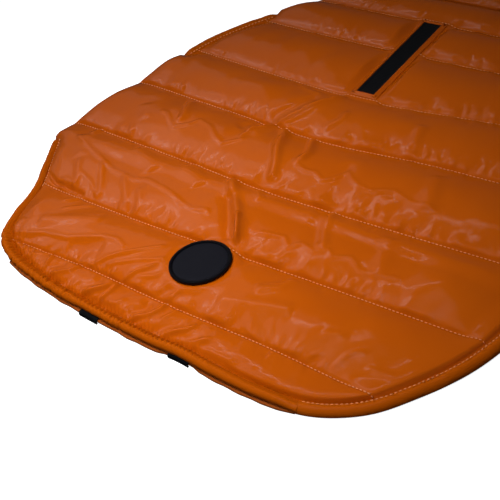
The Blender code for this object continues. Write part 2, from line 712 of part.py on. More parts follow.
def add_lead_opening(coat):
    """Welt round the lead opening on the spine, and the black tape inside it."""
    base = WINDOW_SEAT + SEAM_GAP
    half = WINDOW_WIDTH / 2 + WELT_WIDTH
    low = WINDOW_START_Y - WELT_WIDTH
    high = WINDOW_END_Y + WELT_WIDTH
    corners = [(WINDOW_X - half, low), (WINDOW_X + half, low),
               (WINDOW_X + half, high), (WINDOW_X - half, high)]
    mitres = [(1, 1), (-1, 1), (-1, -1), (1, -1)]
    top = base + WELT_HEIGHT
    section = [(0.0, base), (0.0, top - 1.3), (0.9, top - 0.3), (2.2, top),
               (WELT_WIDTH - 0.8, top - 0.3), (WELT_WIDTH, top - 1.1), (WELT_WIDTH, base)]
    add_piece("lead_opening_welt", *sweep(corners, mitres, [section] * 4, closed=True),
              "shell_nylon", coat)
    inner = WINDOW_WIDTH / 2 - SEAM_GAP
    rows = []
    for y in np.linspace(WINDOW_START_Y + SEAM_GAP, WINDOW_END_Y - SEAM_GAP, 6):
        rows.append([(WINDOW_X - inner, y), (WINDOW_X, y), (WINDOW_X + inner, y)])
    add_piece("lead_opening_tape", *slab(rows, lambda i, j: base,
                                         lambda i, j: base + TAPE_HEIGHT), "black_tape", coat)


def centre_coat(coat):
    """Puts the middle of the whole outline over the origin."""
    corners = np.array([v.co[:] for piece in coat.children for v in piece.data.vertices])
    middle = (corners.min(axis=0) + corners.max(axis=0)) / 2
    coat.location = (-middle[0], -middle[1], -corners[:, 2].min())


def main():
    for old in list(bpy.data.objects):
        bpy.data.objects.remove(old)
    coat = bpy.data.objects.new("coat", None)
    bpy.context.collection.objects.link(coat)
    add_piece("back_panel", *BackPanel().wall(), "shell_nylon", coat, sharp=24.0)
    add_edges(coat)
    add_belly_flaps(coat)
    add_front(coat)
    add_badge(coat)
    add_lead_opening(coat)
    centre_coat(coat)


main()
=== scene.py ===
"""Looks of the padded dog coat: its quilted shell, bindings, gathered hem, trim and stitching.

Sizes are in millimetres, X from the spine, Y along the back from the tail hem and Z up, as
in the solids. to_frame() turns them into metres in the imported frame.
"""
import math

import bmesh
import bpy
import numpy as np
from bpy.props import FloatProperty, FloatVectorProperty, PointerProperty
from mathutils import Matrix, Vector
from mathutils.geometry import delaunay_2d_cdt


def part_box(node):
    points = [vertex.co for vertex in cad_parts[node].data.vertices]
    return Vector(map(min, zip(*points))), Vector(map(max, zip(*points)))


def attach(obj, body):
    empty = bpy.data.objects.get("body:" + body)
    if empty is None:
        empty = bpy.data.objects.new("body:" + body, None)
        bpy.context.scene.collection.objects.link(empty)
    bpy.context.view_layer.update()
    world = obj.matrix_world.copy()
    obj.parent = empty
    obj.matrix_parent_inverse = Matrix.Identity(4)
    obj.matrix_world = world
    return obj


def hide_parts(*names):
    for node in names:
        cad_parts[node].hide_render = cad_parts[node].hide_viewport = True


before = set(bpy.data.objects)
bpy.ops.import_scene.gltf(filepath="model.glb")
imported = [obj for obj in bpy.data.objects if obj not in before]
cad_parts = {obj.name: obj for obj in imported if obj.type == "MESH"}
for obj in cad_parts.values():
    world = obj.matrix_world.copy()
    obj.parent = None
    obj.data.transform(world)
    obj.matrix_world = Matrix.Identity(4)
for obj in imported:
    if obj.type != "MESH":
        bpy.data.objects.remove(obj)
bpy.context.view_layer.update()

bl_info = {
    "name": "Quilted dog coat",
    "version": (1, 0, 0),
    "blender": (4, 5, 0),
    "location": "3D View > Sidebar > Dog coat",
    "description": "Cloth, trim and stitching of a padded dog coat that lies flat",
    "category": "Object",
}

MM = 0.001

# Places along the back
SKIRT_END_Y = 150.0         # tail side of here the panel lies on the surface itself
STITCHES_TOP_Y = 153.0      # the side bindings' stitches end here,
BINDING_END_Y = 155.0
BINDING_TOP_Y = 157.0       # and their tape here
FOLD_START_Y = 165.0        # the sides fold under between these two
FOLD_END_Y = 305.0
CHEST_START_Y = 402.0
NECK_Y = 470.0
COLLAR_END_Y = 520.0

# Layers and trim
UNDER_LAYER = 3.3           # flaps, chest panel and under collar
UPPER_BASE = 3.6            # level of the panel's underside over them
LAP_LAYER = 1.5             # a flap's thickness where the two overlap
LAP_HALF = 30.0             # half the overlap's width
FLAP_INNER_Y = (186.0, 283.0)
FLAP_ROUNDING = 2.4
FLAP_HEM = 8.0              # its stitches dent it this far from the edge
COLLAR_HALF = (112.5, 107.0)    # half its width at the neck and at its top
BINDING_WIDTH = 10.0
BINDING_HEIGHT = 6.2
LEFT_BINDING = 0.72         # share of that width on the left, where it is rolled over
LEFT_BINDING_X = -186.0     # and it narrows from here
PANEL_TUCK = 1.3            # the panel's edge goes this far into its binding
BINDING_RAMP = 8.0          # a binding's end fades out over this length
TAB_WIDTH = 20.0
TAB_CENTRES = (-51.0, 43.0)
JOIN_Y = 44.0               # the left binding meets the hem casing here,
PINCH_X = 150.0             # and the casing meets the right binding here
FACING_START_X = -162.0
FACING_HEIGHT = 2.4
CASING_BASE = 2.7
CASING_HEIGHT = 8.8

# Quilting
SEAM_THICKNESS = 4.2
EDGE_THICKNESS = 3.3
FOLD_EDGE_THICKNESS = 1.6
EDGE_SOFTNESS = 17.0        # the panel rises to its full height over this width
LEFT_SOFTNESS = 23.0        # a little more gently from its left binding
RIGHT_SOFTNESS = 60.0       # much more gently from its right one
HEM_SOFTNESS = 4.5          # and steeply from the gathered casing
LEFT_BULGE = 1.2            # swelling beside each binding
RIGHT_BULGE = 3.0
PUFF_POWER = 2.0
PUFF = (3.6, 7.6, 8.0, 8.0, 7.6, 7.2, 7.0, 6.0)     # loft of each channel, from the tail
PUFF_VARIATION = 0.12
SEAM_GROOVE = 1.2           # depth, and half the width, of the groove that a seam pulls in
# Slow waves of the padding: height, size across, seed, size along
SOFT_WAVES = ((0.85, 30.0, 31, 36.0), (0.36, 14.0, 32, 19.0))
PUCKER_HEIGHT = 0.62        # crinkles along a seam
PUCKER_REACH = 3.6
BLISTER_REACH = 3.4
LIP_START = 3.2             # the cloth bulges over a seam from this distance on
LIP_REACH = 8.0
SEAT_RAMP = 9.0             # the shell slopes down to a flat seat over this width
SEAM_STATIONS = (-200.0, -100.0, 0.0, 100.0, 200.0)
SEAMS = (                   # Y of each quilting seam at those five X stations
    (38.0, 42.3, 40.2, 40.5, 36.0),
    (105.0, 104.0, 106.0, 108.5, 110.0),
    (182.5, 178.5, 174.0, 176.0, 179.0),
    (255.5, 250.0, 245.5, 253.5, 256.0),
    (318.0, 311.0, 307.0, 316.5, 328.0),
    (384.0, 381.0, 380.0, 381.0, 384.0),
    (432.0, 430.0, 430.0, 430.0, 432.0),
)
# Tail edge of the coat, from the left fold round the tail to the right fold: x, y
TAIL_EDGE = (
    (-246.5, 165), (-244.5, 152), (-229, 125), (-213, 96), (-204, 62), (-193, 40), (-163, 21),
    (-109, 10), (-55, 5.5), (10, 2.5), (42, 3.4), (74, 1), (118, 0), (158, 5), (191, 23),
    (213, 49), (234, 85), (246, 125), (250, 165),
)
# Sides from the tail edge to the neck: y, left x, right x
SIDE_EDGE = (
    (165, -246.5, 250), (185, -242, 250), (206, -238, 247), (238, -229.5, 238),
    (262, -224, 232), (300, -215.5, 222), (340, -203, 207), (380, -180, 182), (415, -152, 153),
    (445, -126, 127), (470, -112, 113),
)
# Strength of the elastic's gathers along the tail edge: x, strength
GATHERS = (
    (-199, 0.0), (-193, 0.6), (-184, 1.0), (-120, 1.0), (-60, 0.85), (0, 0.7), (50, 0.45),
    (95, 0.2), (150, 0.0),
)
GATHER_DEPTH = 1.3
GATHER_REACH = 34.0
GATHER_START_X = -200.0
GATHER_START = 120.0        # length of the tail edge before its first gather
# Pleats of the hem casing: x, strength round the tube, strength along its inner seam
PLEATS = (
    (-200, 0.5, 0.5), (-180, 0.9, 0.9), (-100, 1.0, 1.0), (-78, 0.5, 0.9), (-55, 0.2, 0.8),
    (-40, 0.3, 0.9), (-29, 0.8, 1.0), (-15, 0.5, 1.0), (0, 0.15, 1.0), (30, 0.1, 0.9),
    (52, 0.05, 0.7), (72, 0.0, 0.3), (100, 0.0, 0.0),
)
# X of the pleats that fold in all round the tube
DEEP_PLEATS = (-132.0, -113.7, -97.7, -83.5, -29.0, -18.0)
CRIMP_PITCH = 4.2           # crimps along the casing's inner seam
PANEL_CRIMP = 1.25
CASING_CRIMP = 1.1
PLEAT_PITCH = 3.1
# How far the facing shows past the casing: x, reach
FACING_REACH = (
    (-162, 1.4), (-40, 2.0), (10, 2.0), (22, 1.8), (29, 0.6), (57, 0.6), (64, 1.8), (110, 1.8),
    (135, 1.2), (148, 0.5),
)
SUNK_STITCHES_X = -125.0    # left of here the first seam's stitches sink into the cloth
CREASE_SCALE = 1.75
CREASE_FADE = 7.0           # a crease dies away at its ends over this length at most
BLISTER_SCALE = 1.35

# Badge and lead opening
BADGE_X = 1.0
BADGE_Y = 82.0
BADGE_RADIUS = 25.0
BADGE_HEIGHT = 2.8
BADGE_SEAT = 10.2
BADGE_SLOPE = -0.05
WINDOW_X = -1.5
WINDOW_WIDTH = 18.0
WINDOW_START_Y = 313.0
WINDOW_END_Y = 425.0
WELT_WIDTH = 4.6
WINDOW_HALF = WINDOW_WIDTH / 2 + WELT_WIDTH
WINDOW_SEAT = UPPER_BASE + 6.0
OPENING_BASE = WINDOW_SEAT + 0.3

# Creases of the shell: half width, height (a trough is negative), points x, y along it
CREASES = (
    # folds under the lead opening
    (1.7, 1.1, ((-66, 213), (-60, 229), (-52, 244), (-44, 256), (-36, 266), (-24, 284),
                (-12, 306))),
    (5.5, 1.0, ((-58, 222), (-52, 244), (-36, 266), (-24, 284), (-14, 303))),
    (6.0, -1.0, ((-78, 226), (-62, 252), (-47, 270), (-33, 292))),
    (2.4, 0.6, ((-66, 303), (-49, 297), (-33, 296))),
    (3.5, 0.9, ((2, 284), (5, 271), (0, 262), (-6, 254))),
    (5.0, 1.1, ((73, 290), (80, 260))),
    # the fold that runs down the spine to the badge
    (4.2, 2.1, ((-42, 250), (-31, 234), (-22, 214), (-13, 200), (-8, 188), (-7, 180))),
    (4.6, 2.4, ((-42, 176), (-22, 153), (2, 130), (13, 112))),
    (5.0, -1.7, ((-30, 158), (-22, 146), (-6, 124), (4, 112))),
    (1.5, 2.0, ((-6, 140), (0, 131), (7, 121), (14, 109))),
    (3.4, 0.9, ((-13, 175), (2, 157))),
    (3.4, 1.6, ((-9, 247), (-1, 232), (5, 221), (5, 212), (1, 205))),
    # folds that slant across the channels
    (3.8, 1.4, ((-148, 248), (-134, 222), (-131, 209))),
    (3.0, 1.1, ((-62, 240), (-61, 221))),
    (6.5, 0.9, ((-184, 226), (-166, 203))),
    (6.5, -0.7, ((44, 226), (53, 198), (56, 178))),
    (6.5, -0.6, ((52, 176), (58, 158), (74, 134))),
    (4.0, 1.1, ((61, 178), (69, 152), (82, 132))),
    (7.0, 1.1, ((118, 240), (132, 198))),
    (7.0, 1.0, ((120, 168), (134, 128))),
    (3.2, 1.1, ((-206, 186), (-205, 168))),
    (3.4, 0.7, ((-168, 146), (-150, 124), (-139, 108))),
    (3.4, 0.6, ((-136, 140), (-118, 122), (-107, 108))),
    (3.6, 0.6, ((-110, 134), (-99, 118), (-94, 106))),
    (3.4, 0.6, ((-192, 142), (-178, 122), (-170, 108))),
    (8.0, 1.0, ((-212, 168), (-190, 140))),
    (9.0, 1.1, ((-150, 176), (-112, 150))),
    (9.0, 1.0, ((-92, 176), (-60, 150))),
    (1.8, -2.4, ((-218, 119), (-196, 110), (-178, 109), (-156, 108))),
    (1.8, 0.7, ((-160, 81), (-135, 103))),
    (2.6, 0.9, ((-168, 90), (-156, 106))),
    (6.0, 1.0, ((-168, 62), (-138, 76), (-110, 89))),
    (8.0, -1.0, ((-122, 51), (-84, 60))),
    (4.5, 1.1, ((80, 104), (74, 88), (58, 76))),
    (6.0, 0.9, ((36, 58), (60, 63), (100, 73))),
    (3.0, 0.6, ((128, 62), (148, 71))),
    (2.2, 0.65, ((151, 42), (156, 57), (168, 67))),
    (2.2, 0.55, ((131, 44), (139, 53))),
    (3.0, 1.0, ((170, 53), (198, 56))),
    # faint crests that run along the channels
    (1.6, 0.65, ((-218, 163), (-180, 150), (-150, 141), (-123, 138), (-110, 142), (-80, 137),
                 (-60, 131), (-48, 129), (-35, 132), (-27, 129))),
    (1.8, 0.5, ((-180, 127), (-160, 121), (-139, 108))),
    (1.8, 0.5, ((-198, 112), (-191, 113), (-184, 116), (-171, 113))),
    (1.6, 0.65, ((-162, 219), (-150, 217), (-140, 210), (-132, 205), (-125, 210), (-120, 213),
                (-115, 221), (-100, 217), (-85, 207), (-75, 203), (-68, 208), (-57, 217))),
    (1.6, 0.65, ((-2, 207), (15, 202), (25, 203), (35, 198), (43, 203), (50, 213), (58, 207),
                (68, 202), (80, 201), (90, 206), (98, 208), (115, 202), (142, 203))),
    (1.6, 0.65, ((18, 128), (35, 131), (45, 133), (53, 126), (62, 133), (75, 129), (85, 135),
                 (92, 130), (105, 136), (118, 128), (130, 129), (152, 133))),
    (2.4, 0.8, ((-184, 43), (-150, 55), (-125, 58), (-110, 64), (-95, 70), (-80, 72), (-64, 66))),
    # ridges that run to the badge
    (1.7, 0.9, ((-90, 41), (-76, 55), (-61, 66), (-46, 78), (-36, 86))),
    (1.6, 0.7, ((-74, 48), (-51, 61), (-36, 69), (-24, 75))),
    (1.7, 1.2, ((-51, 40), (-42, 53), (-34, 61), (-29, 68))),
    (1.7, 0.8, ((-42, 48), (-26, 55), (-18, 63))),
    (2.2, 1.1, ((-1, 40), (3, 50), (7, 58))),
    (2.2, 0.9, ((-15, 43), (-10, 52), (-5, 59))),
    # hem strip
    (1.2, 0.6, ((-174, 42), (-158, 27))),
    (1.2, 0.6, ((-168, 41), (-152, 26))),
    (1.2, 0.7, ((-162, 41), (-146, 25))),
    (1.3, 0.7, ((-156, 41), (-142, 25))),
    (1.4, 0.7, ((-150, 40), (-137, 25))),
    (2.0, 1.3, ((-125, 16), (-123, 28), (-125, 37), (-130, 43))),
    (2.2, 1.7, ((-120, 16), (-108, 24), (-98, 31), (-95, 38), (-99, 44))),
    (4.6, -1.3, ((-128, 22), (-116, 30), (-106, 39))),
    (2.2, 1.7, ((-78, 13), (-66, 20), (-56, 28), (-52, 35), (-53, 43))),
    (4.4, -1.2, ((-84, 20), (-70, 29), (-62, 40))),
    (1.8, 1.3, ((-58, 9), (-51, 18), (-48, 28), (-49, 42))),
    (1.6, 0.8, ((-66, 10), (-60, 17), (-54, 22))),
    (2.6, 0.8, ((-47, 19), (-36, 21), (-30, 30))),
    (2.4, 1.7, ((-27, 8), (-14, 16), (-4, 23), (1, 32), (0, 43))),
    (4.2, -1.2, ((-26, 20), (-12, 27), (-16, 40))),
    (2.0, 0.8, ((13, 41), (12, 32), (8, 22))),
    (2.2, 1.4, ((14, 7), (22, 16), (34, 25), (40, 34))),
    (4.4, -1.1, ((4, 10), (16, 21), (28, 31))),
    (2.2, 1.0, ((28, 13), (48, 19), (60, 27))),
    (2.6, 1.4, ((20, 12), (50, 15.5), (80, 15.5), (95, 11), (106, 6))),
)

# Blisters of cloth between the stitches, on the neck side of a seam: seam, x, half width, height
BLISTERS = (
    (0, -74, 4.0, 0.6), (0, -61, 4.2, 0.6), (0, -49, 3.4, 0.5), (0, -36, 4.4, 0.8),
    (0, -19, 4.0, 0.7), (0, -4, 3.6, 0.6), (1, -184, 4.0, 0.5), (1, -167, 4.5, 0.6),
    (1, -85, 3.5, 0.5), (1, -70, 4.0, 0.6), (1, -53, 3.0, 0.5), (1, -34, 3.5, 0.4),
    (1, 23, 3.6, 0.8), (1, 34, 4.5, 0.7), (1, 52, 4.0, 0.6), (1, 72, 4.2, 0.6), (1, 91, 4.5, 0.5),
    (1, 165, 4.0, 0.4), (1, 182, 3.5, 0.4), (2, -177, 4.0, 0.5), (2, -156, 5.0, 0.6),
    (2, -108, 4.0, 0.4), (2, -73, 4.5, 0.6), (2, -59, 4.5, 0.7), (2, 2, 3.2, 0.6),
    (2, 22, 4.6, 0.7), (2, 45, 5.0, 0.8), (2, 74, 3.4, 0.5), (2, 85, 4.2, 0.5), (2, 118, 4.0, 0.5),
    (2, 139, 4.0, 0.4), (2, 164, 4.0, 0.4), (3, 14, 3.6, 0.6), (3, 32, 4.2, 0.6),
    (3, 59, 3.6, 0.6), (3, 78, 3.2, 0.4), (3, 90, 5.0, 0.6), (3, 106, 4.0, 0.4),
    (4, -60, 4.0, 0.5), (4, 50, 4.2, 0.5), (4, 82, 3.6, 0.5), (5, -30, 4.0, 0.5),
    (5, 64, 4.4, 0.5),
)

# Pitch of the ribs across the tape of the hem tabs and of the lead opening
TAB_RIB_PITCH = 1.1
TAPE_RIB_PITCH = 2.0

# Stitches
LINE_START = 246.0          # a seam's stitches are laid out from here on the left
QUILT_LIFT = 0.45           # stitches lie this far above the cloth
SUNK_LIFT = 0.1
BINDING_STITCH_INSET = 8.4
LEFT_STITCH_INSET = 8.8
HEAVY_THREAD = 1.35         # thread of the bindings, against that of the quilting

# Stage
MIDDLE = (0.0, 110.0, 0.0)
LAMP_DISTANCE = 1300.0
FLOOR_REACH = 4.0           # in metres, like the floor's level
FLOOR_LEVEL = -0.0002
CAMERA_AZIMUTH = 49.459
CAMERA_ELEVATION = 40.759
CAMERA_ROLL = -17.057
CAMERA_DISTANCE = 911.2
CAMERA_TARGET = (18.37, 118.5)
CAMERA_LENS = 84.26
SENSOR = 36.0


# --- plain helpers ---------------------------------------------------------------------------

badge_low, badge_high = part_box("badge")
SHIFT = np.array([
    (badge_low.x + badge_high.x) / 2 / MM - BADGE_X,
    (badge_low.y + badge_high.y) / 2 / MM - BADGE_Y,
    0.0,
])


def to_frame(points):
    """Points in millimetres on the coat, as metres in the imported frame."""
    return (np.asarray(points, float) + SHIFT) * MM


def smooth_step(value):
    """Eases from 0 to 1 as the value does."""
    value = np.clip(value, 0.0, 1.0)
    return value * value * (3.0 - 2.0 * value)


def between(a, b, share):
    """The value that share of the way from a to b."""
    return a + (b - a) * share


def bell(value, half_width):
    """1 at zero, and soon nothing on both sides."""
    return np.exp(-(value / half_width) ** 2)


def swell(value, reach):
    """0 at zero, 1 at the reach, and slowly less beyond it."""
    return value / reach * np.exp(1.0 - value / reach)


def rounded(share):
    """Quarter circle from 0 to 1."""
    return np.sqrt(1.0 - (1.0 - share) ** 2)


def read_table(table, key, column=1):
    """Value in a column of a table, between the rows on both sides of the key."""
    return np.interp(key, [row[0] for row in table], [row[column] for row in table])


def linear(code):
    """Linear colour with alpha, from an sRGB hex value."""
    parts = [int(code[i:i + 2], 16) / 255 for i in (1, 3, 5)]
    return (*(p / 12.92 if p <= 0.04045 else ((p + 0.055) / 1.055) ** 2.4 for p in parts), 1.0)


def ripple(x, y, size, seed, size_y=None):
    """Smooth random waves from -1 to 1, `size` millimetres apart."""
    lattice = np.random.default_rng(seed).uniform(-1.0, 1.0, (97, 89))
    u = np.asarray(x) / size + 500.0
    v = np.asarray(y) / (size_y or size) + 500.0
    i, j = np.floor(u).astype(int), np.floor(v).astype(int)
    s, t = smooth_step(u - i), smooth_step(v - j)
    low = between(lattice[i % 97, j % 89], lattice[(i + 1) % 97, j % 89], s)
    high = between(lattice[i % 97, (j + 1) % 89], lattice[(i + 1) % 97, (j + 1) % 89], s)
    return between(low, high, t) * 1.5


def curve_through(points, step):
    """Points about `step` apart, evenly along a smooth curve through the given ones."""
    points = np.array(points, float)
    ends = np.vstack((2 * points[0] - points[1], points, 2 * points[-1] - points[-2]))
    fine = []
    for i in range(1, len(ends) - 2):
        p0, p1, p2, p3 = ends[i - 1:i + 3]
        for t in np.linspace(0.0, 1.0, 24, endpoint=False):
            fine.append(0.5 * (2 * p1 + (p2 - p0) * t + (2 * p0 - 5 * p1 + 4 * p2 - p3) * t * t
                               + (3 * p1 - p0 - 3 * p2 + p3) * t ** 3))
    fine.append(points[-1])
    return evenly(np.array(fine), step)


def evenly(line, step):
    """The same line with its points about `step` apart."""
    reach = np.concatenate(([0.0], np.cumsum(np.linalg.norm(np.diff(line, axis=0), axis=1))))
    count = max(2, round(reach[-1] / step) + 1)
    places = np.linspace(0.0, reach[-1], count)
    return np.stack([np.interp(places, reach, line[:, i]) for i in range(line.shape[1])], axis=1)


def inward(points, closed=False):
    """Unit vectors to the left of a path, the inside of an outline that runs tail first."""
    if closed:
        run = np.roll(points, -1, axis=0) - np.roll(points, 1, axis=0)
    else:
        run = np.gradient(points, axis=0)
    run = run / np.linalg.norm(run, axis=1)[:, None]
    return np.stack((-run[:, 1], run[:, 0]), axis=1)


def side_curve(column, y0, y1, step):
    """Stretch of the left (column 1) or right (column 2) side from one Y to another."""
    whole = curve_through([(row[column], row[0]) for row in SIDE_EDGE], 2.0)
    heights = np.linspace(y0, y1, max(2, round((y1 - y0) / step) + 1))
    return np.stack((np.interp(heights, whole[:, 1], whole[:, 0]), heights), axis=1)


def seam_line(k, x):
    """Y of a quilting seam at x, on a smooth curve through its stations."""
    seam = np.array(SEAMS[k])
    x = np.asarray(x, float)
    spacing = SEAM_STATIONS[1] - SEAM_STATIONS[0]
    place = np.clip((x - SEAM_STATIONS[0]) / spacing, 0.0, len(seam) - 1.001)
    i = place.astype(int)
    t = place - i
    padded = np.concatenate(([2 * seam[0] - seam[1]], seam, [2 * seam[-1] - seam[-2]]))
    before, here, there, after = padded[i], padded[i + 1], padded[i + 2], padded[i + 3]
    slope_a, slope_b = (there - before) / 2, (after - here) / 2
    return ((2 * t ** 3 - 3 * t * t + 1) * here + (t ** 3 - 2 * t * t + t) * slope_a
            + (3 * t * t - 2 * t ** 3) * there + (t ** 3 - t * t) * slope_b)


def inside_loop(loop, x, y):
    """Whether each point lies inside a closed outline."""
    after = np.roll(loop, -1, axis=0)
    found = np.zeros(len(x), bool)
    for i in range(len(x)):
        crosses = (loop[:, 1] > y[i]) != (after[:, 1] > y[i])
        rise = np.where(crosses, after[:, 1] - loop[:, 1], 1.0)
        at = loop[:, 0] + (y[i] - loop[:, 1]) * (after[:, 0] - loop[:, 0]) / rise
        found[i] = int((crosses & (x[i] < at)).sum()) % 2 == 1
    return found


def stretches(keep):
    """Slices of the unbroken runs of True that hold three points or more."""
    found = []
    first = None
    for i, value in enumerate(list(keep) + [False]):
        if value and first is None:
            first = i
        elif not value and first is not None:
            if i - first > 2:
                found.append(slice(first, i))
            first = None
    return found


def base_at(y):
    """Height of the back panel's plain underside."""
    return UPPER_BASE * smooth_step((np.asarray(y) - SKIRT_END_Y) / (FOLD_START_Y - SKIRT_END_Y))


# --- the quilted back ------------------------------------------------------------------------

class Quilting:
    """The back panel's edge and the height of its shell at any point."""

    def __init__(self):
        tail = curve_through(TAIL_EDGE, 1.0)
        right = side_curve(2, TAIL_EDGE[-1][1], NECK_Y, 1.0)[1:]
        left = side_curve(1, TAIL_EDGE[0][1], NECK_Y, 1.0)[::-1]
        neck_x = np.linspace(right[-1][0], left[0][0], 226)[1:-1]
        neck = np.stack((neck_x, np.full(len(neck_x), NECK_Y)), axis=1)
        outer = np.vstack((tail, right, neck, left[:-1]))
        inset = np.array([self.inset_at(y) if y < NECK_Y - 1.0 else 0.0 for _, y in outer])
        self.bound = inset / (BINDING_WIDTH - PANEL_TUCK)
        inset = inset * self.width_share(outer)
        self.tail_count = len(tail)
        self.edge = outer + inward(outer, closed=True) * inset[:, None]

    @staticmethod
    def width_share(points):
        """Width of the binding at each point, as a share of its full width."""
        left = smooth_step((LEFT_BINDING_X - points[:, 0]) / 16.0) * (points[:, 1] < FOLD_START_Y)
        return between(1.0, LEFT_BINDING, left)

    @staticmethod
    def inset_at(y):
        """How far the panel's edge lies inside the outline, where a binding goes round it."""
        skirt = 1.0 - smooth_step((y - STITCHES_TOP_Y) / BINDING_RAMP)
        leg = smooth_step((y - FOLD_END_Y) / BINDING_RAMP)
        leg = leg * smooth_step((CHEST_START_Y - y) / BINDING_RAMP)
        return (BINDING_WIDTH - PANEL_TUCK) * max(skirt, leg)

    def near_edge(self, x, y):
        """Distance to the edge, how far it is bound, its place in mm, and its x."""
        stride, block = 3, 3000
        keep = np.arange(0, len(self.edge), stride)
        start = self.edge[keep]
        run = np.roll(start, -1, axis=0) - start
        length = (run ** 2).sum(axis=1)
        found = [np.empty(len(x)) for _ in range(4)]
        for first in range(0, len(x), block):
            part = slice(first, first + block)
            dx = x[part, None] - start[None, :, 0]
            dy = y[part, None] - start[None, :, 1]
            along = np.clip((dx * run[:, 0] + dy * run[:, 1]) / length, 0.0, 1.0)
            gap = np.hypot(dx - along * run[:, 0], dy - along * run[:, 1])
            i = gap.argmin(axis=1)
            row = np.arange(len(i))
            found[0][part] = gap[row, i]
            found[1][part] = self.bound[keep][i]
            found[2][part] = keep[i] + stride * along[row, i]
            found[3][part] = start[i, 0] + along[row, i] * run[i, 0]
        return found

    @staticmethod
    def loft(x, y, distance):
        """Padding's height over the seams' level, the signed distance from the nearest seam, and
        how near the channel's middle each point is."""
        lines = np.array([seam_line(k, x) for k in range(len(SEAMS))] + [np.full_like(x, NECK_Y)])
        channel = np.minimum((y[None] > lines).sum(axis=0), len(SEAMS))
        column = np.arange(len(x))
        high = lines[channel, column]
        low = np.where(channel > 0, lines[np.maximum(channel - 1, 0), column], 0.0)
        share = np.where(channel > 0, (y - low) / np.maximum(high - low, 0.01),
                         distance / np.maximum(distance + high - y, 0.001))
        share = np.clip(share, 0.0, 1.0)
        puff = np.array(PUFF)[channel] * (1.0 + PUFF_VARIATION * ripple(x, y, 60.0, 5))
        ring = 1.0 - np.abs(2.0 * share - 1.0) ** PUFF_POWER
        nearest = np.where(np.abs(y - low) < np.abs(high - y), y - low, y - high)
        nearest = np.where(channel == 0, y - high, nearest)
        beyond_all = 99.0           # the neck edge has no seam
        nearest = np.where((channel == len(SEAMS)) & (nearest < 0), beyond_all, nearest)
        return puff * ring, nearest, ring

    @staticmethod
    def creases(x, y):
        """Sum of the ridges and troughs placed by hand."""
        total = np.zeros_like(x)
        for half_width, height, line in CREASES:
            line = np.array(line, float)
            reach = 3.0 * half_width
            low, high = line.min(axis=0) - reach, line.max(axis=0) + reach
            near = np.nonzero((x > low[0]) & (x < high[0]) & (y > low[1]) & (y < high[1]))[0]
            px, py = x[near], y[near]
            gap = np.full(len(near), np.inf)
            place = np.zeros(len(near))
            lengths = np.linalg.norm(np.diff(line, axis=0), axis=1)
            starts = np.concatenate(([0.0], np.cumsum(lengths)))
            for a, b, start, length in zip(line, line[1:], starts, lengths):
                run = (b - a) / length
                along = np.clip((px - a[0]) * run[0] + (py - a[1]) * run[1], 0.0, length)
                off = np.hypot(px - a[0] - along * run[0], py - a[1] - along * run[1])
                closer = off < gap
                gap = np.where(closer, off, gap)
                place = np.where(closer, start + along, place)
            ramp = min(0.3 * starts[-1], CREASE_FADE)
            fade = smooth_step(place / ramp) * smooth_step((starts[-1] - place) / ramp)
            total[near] += CREASE_SCALE * height * fade * bell(gap, half_width)
        return total

    @staticmethod
    def puckers(x, d):
        """Short crinkles that the stitches pull up along a seam."""
        lean = x + 0.3 * d + 1.2 * ripple(x, d, 9.0, 11)
        wave = ripple(lean, d * 0.3, 5.0, 12) + 0.6 * ripple(lean, d * 0.4, 2.8, 13)
        patch = np.clip(0.5 + 0.6 * ripple(x, 0.0, 34.0, 14), 0.1, 1.2)
        above = np.where(d > 0, 1.0, 0.5)
        return PUCKER_HEIGHT * wave * patch * above * swell(np.abs(d), PUCKER_REACH)

    @staticmethod
    def lip(x, d):
        """Cloth that bulges over the neck side of a seam."""
        rise = smooth_step(d / LIP_START) * bell(np.clip(d - LIP_START, 0.0, None), LIP_REACH)
        return np.clip(0.6 + 0.9 * ripple(x, 0.0, 13.0, 15), 0.1, 1.6) * rise

    @staticmethod
    def blisters(x, y, d):
        """Small swellings between the stitches, each just past its seam."""
        total = np.zeros_like(x)
        rise = swell(np.clip(d, 0.0, None), BLISTER_REACH)
        for k, spot, half_width, height in BLISTERS:
            near = bell(x - spot - 0.4 * d, half_width) * (abs(y - SEAMS[k][2]) < 30.0)
            total += BLISTER_SCALE * height * near * rise
        return total

    def gathers(self, distance, place, foot_x):
        """Ridges that the hem's elastic draws up, leaning over to the right."""
        tail = (place < self.tail_count) & (foot_x > GATHER_START_X)
        strength = np.where(tail, read_table(GATHERS, foot_x), 0.0)
        strength = strength * ((place > GATHER_START) & (distance < GATHER_REACH))
        lean = place - 0.9 * distance + 3.0 * ripple(place, distance, 21.0, 21)
        wave = 0.7 * ripple(lean, distance, 7.0, 22, 20.0)
        fine = ripple(place - 0.5 * distance, distance, 2.6, 23, 5.0)
        fade = np.clip(1.0 - distance / GATHER_REACH, 0.0, 1.0)
        fade = fade * smooth_step((distance + 2.0) / 5.0)
        wave = wave + 0.4 * fine * np.exp(-distance / 5.0)
        crimp = np.cos(2 * math.pi * (place + 0.6 * distance) / CRIMP_PITCH) - 0.8
        crimp = crimp * np.exp(-distance / 3.0) * (place > GATHER_START)
        crimp = crimp * np.where(tail, read_table(PLEATS, foot_x, 2), 0.0)
        return GATHER_DEPTH * strength * fade * wave + PANEL_CRIMP * crimp

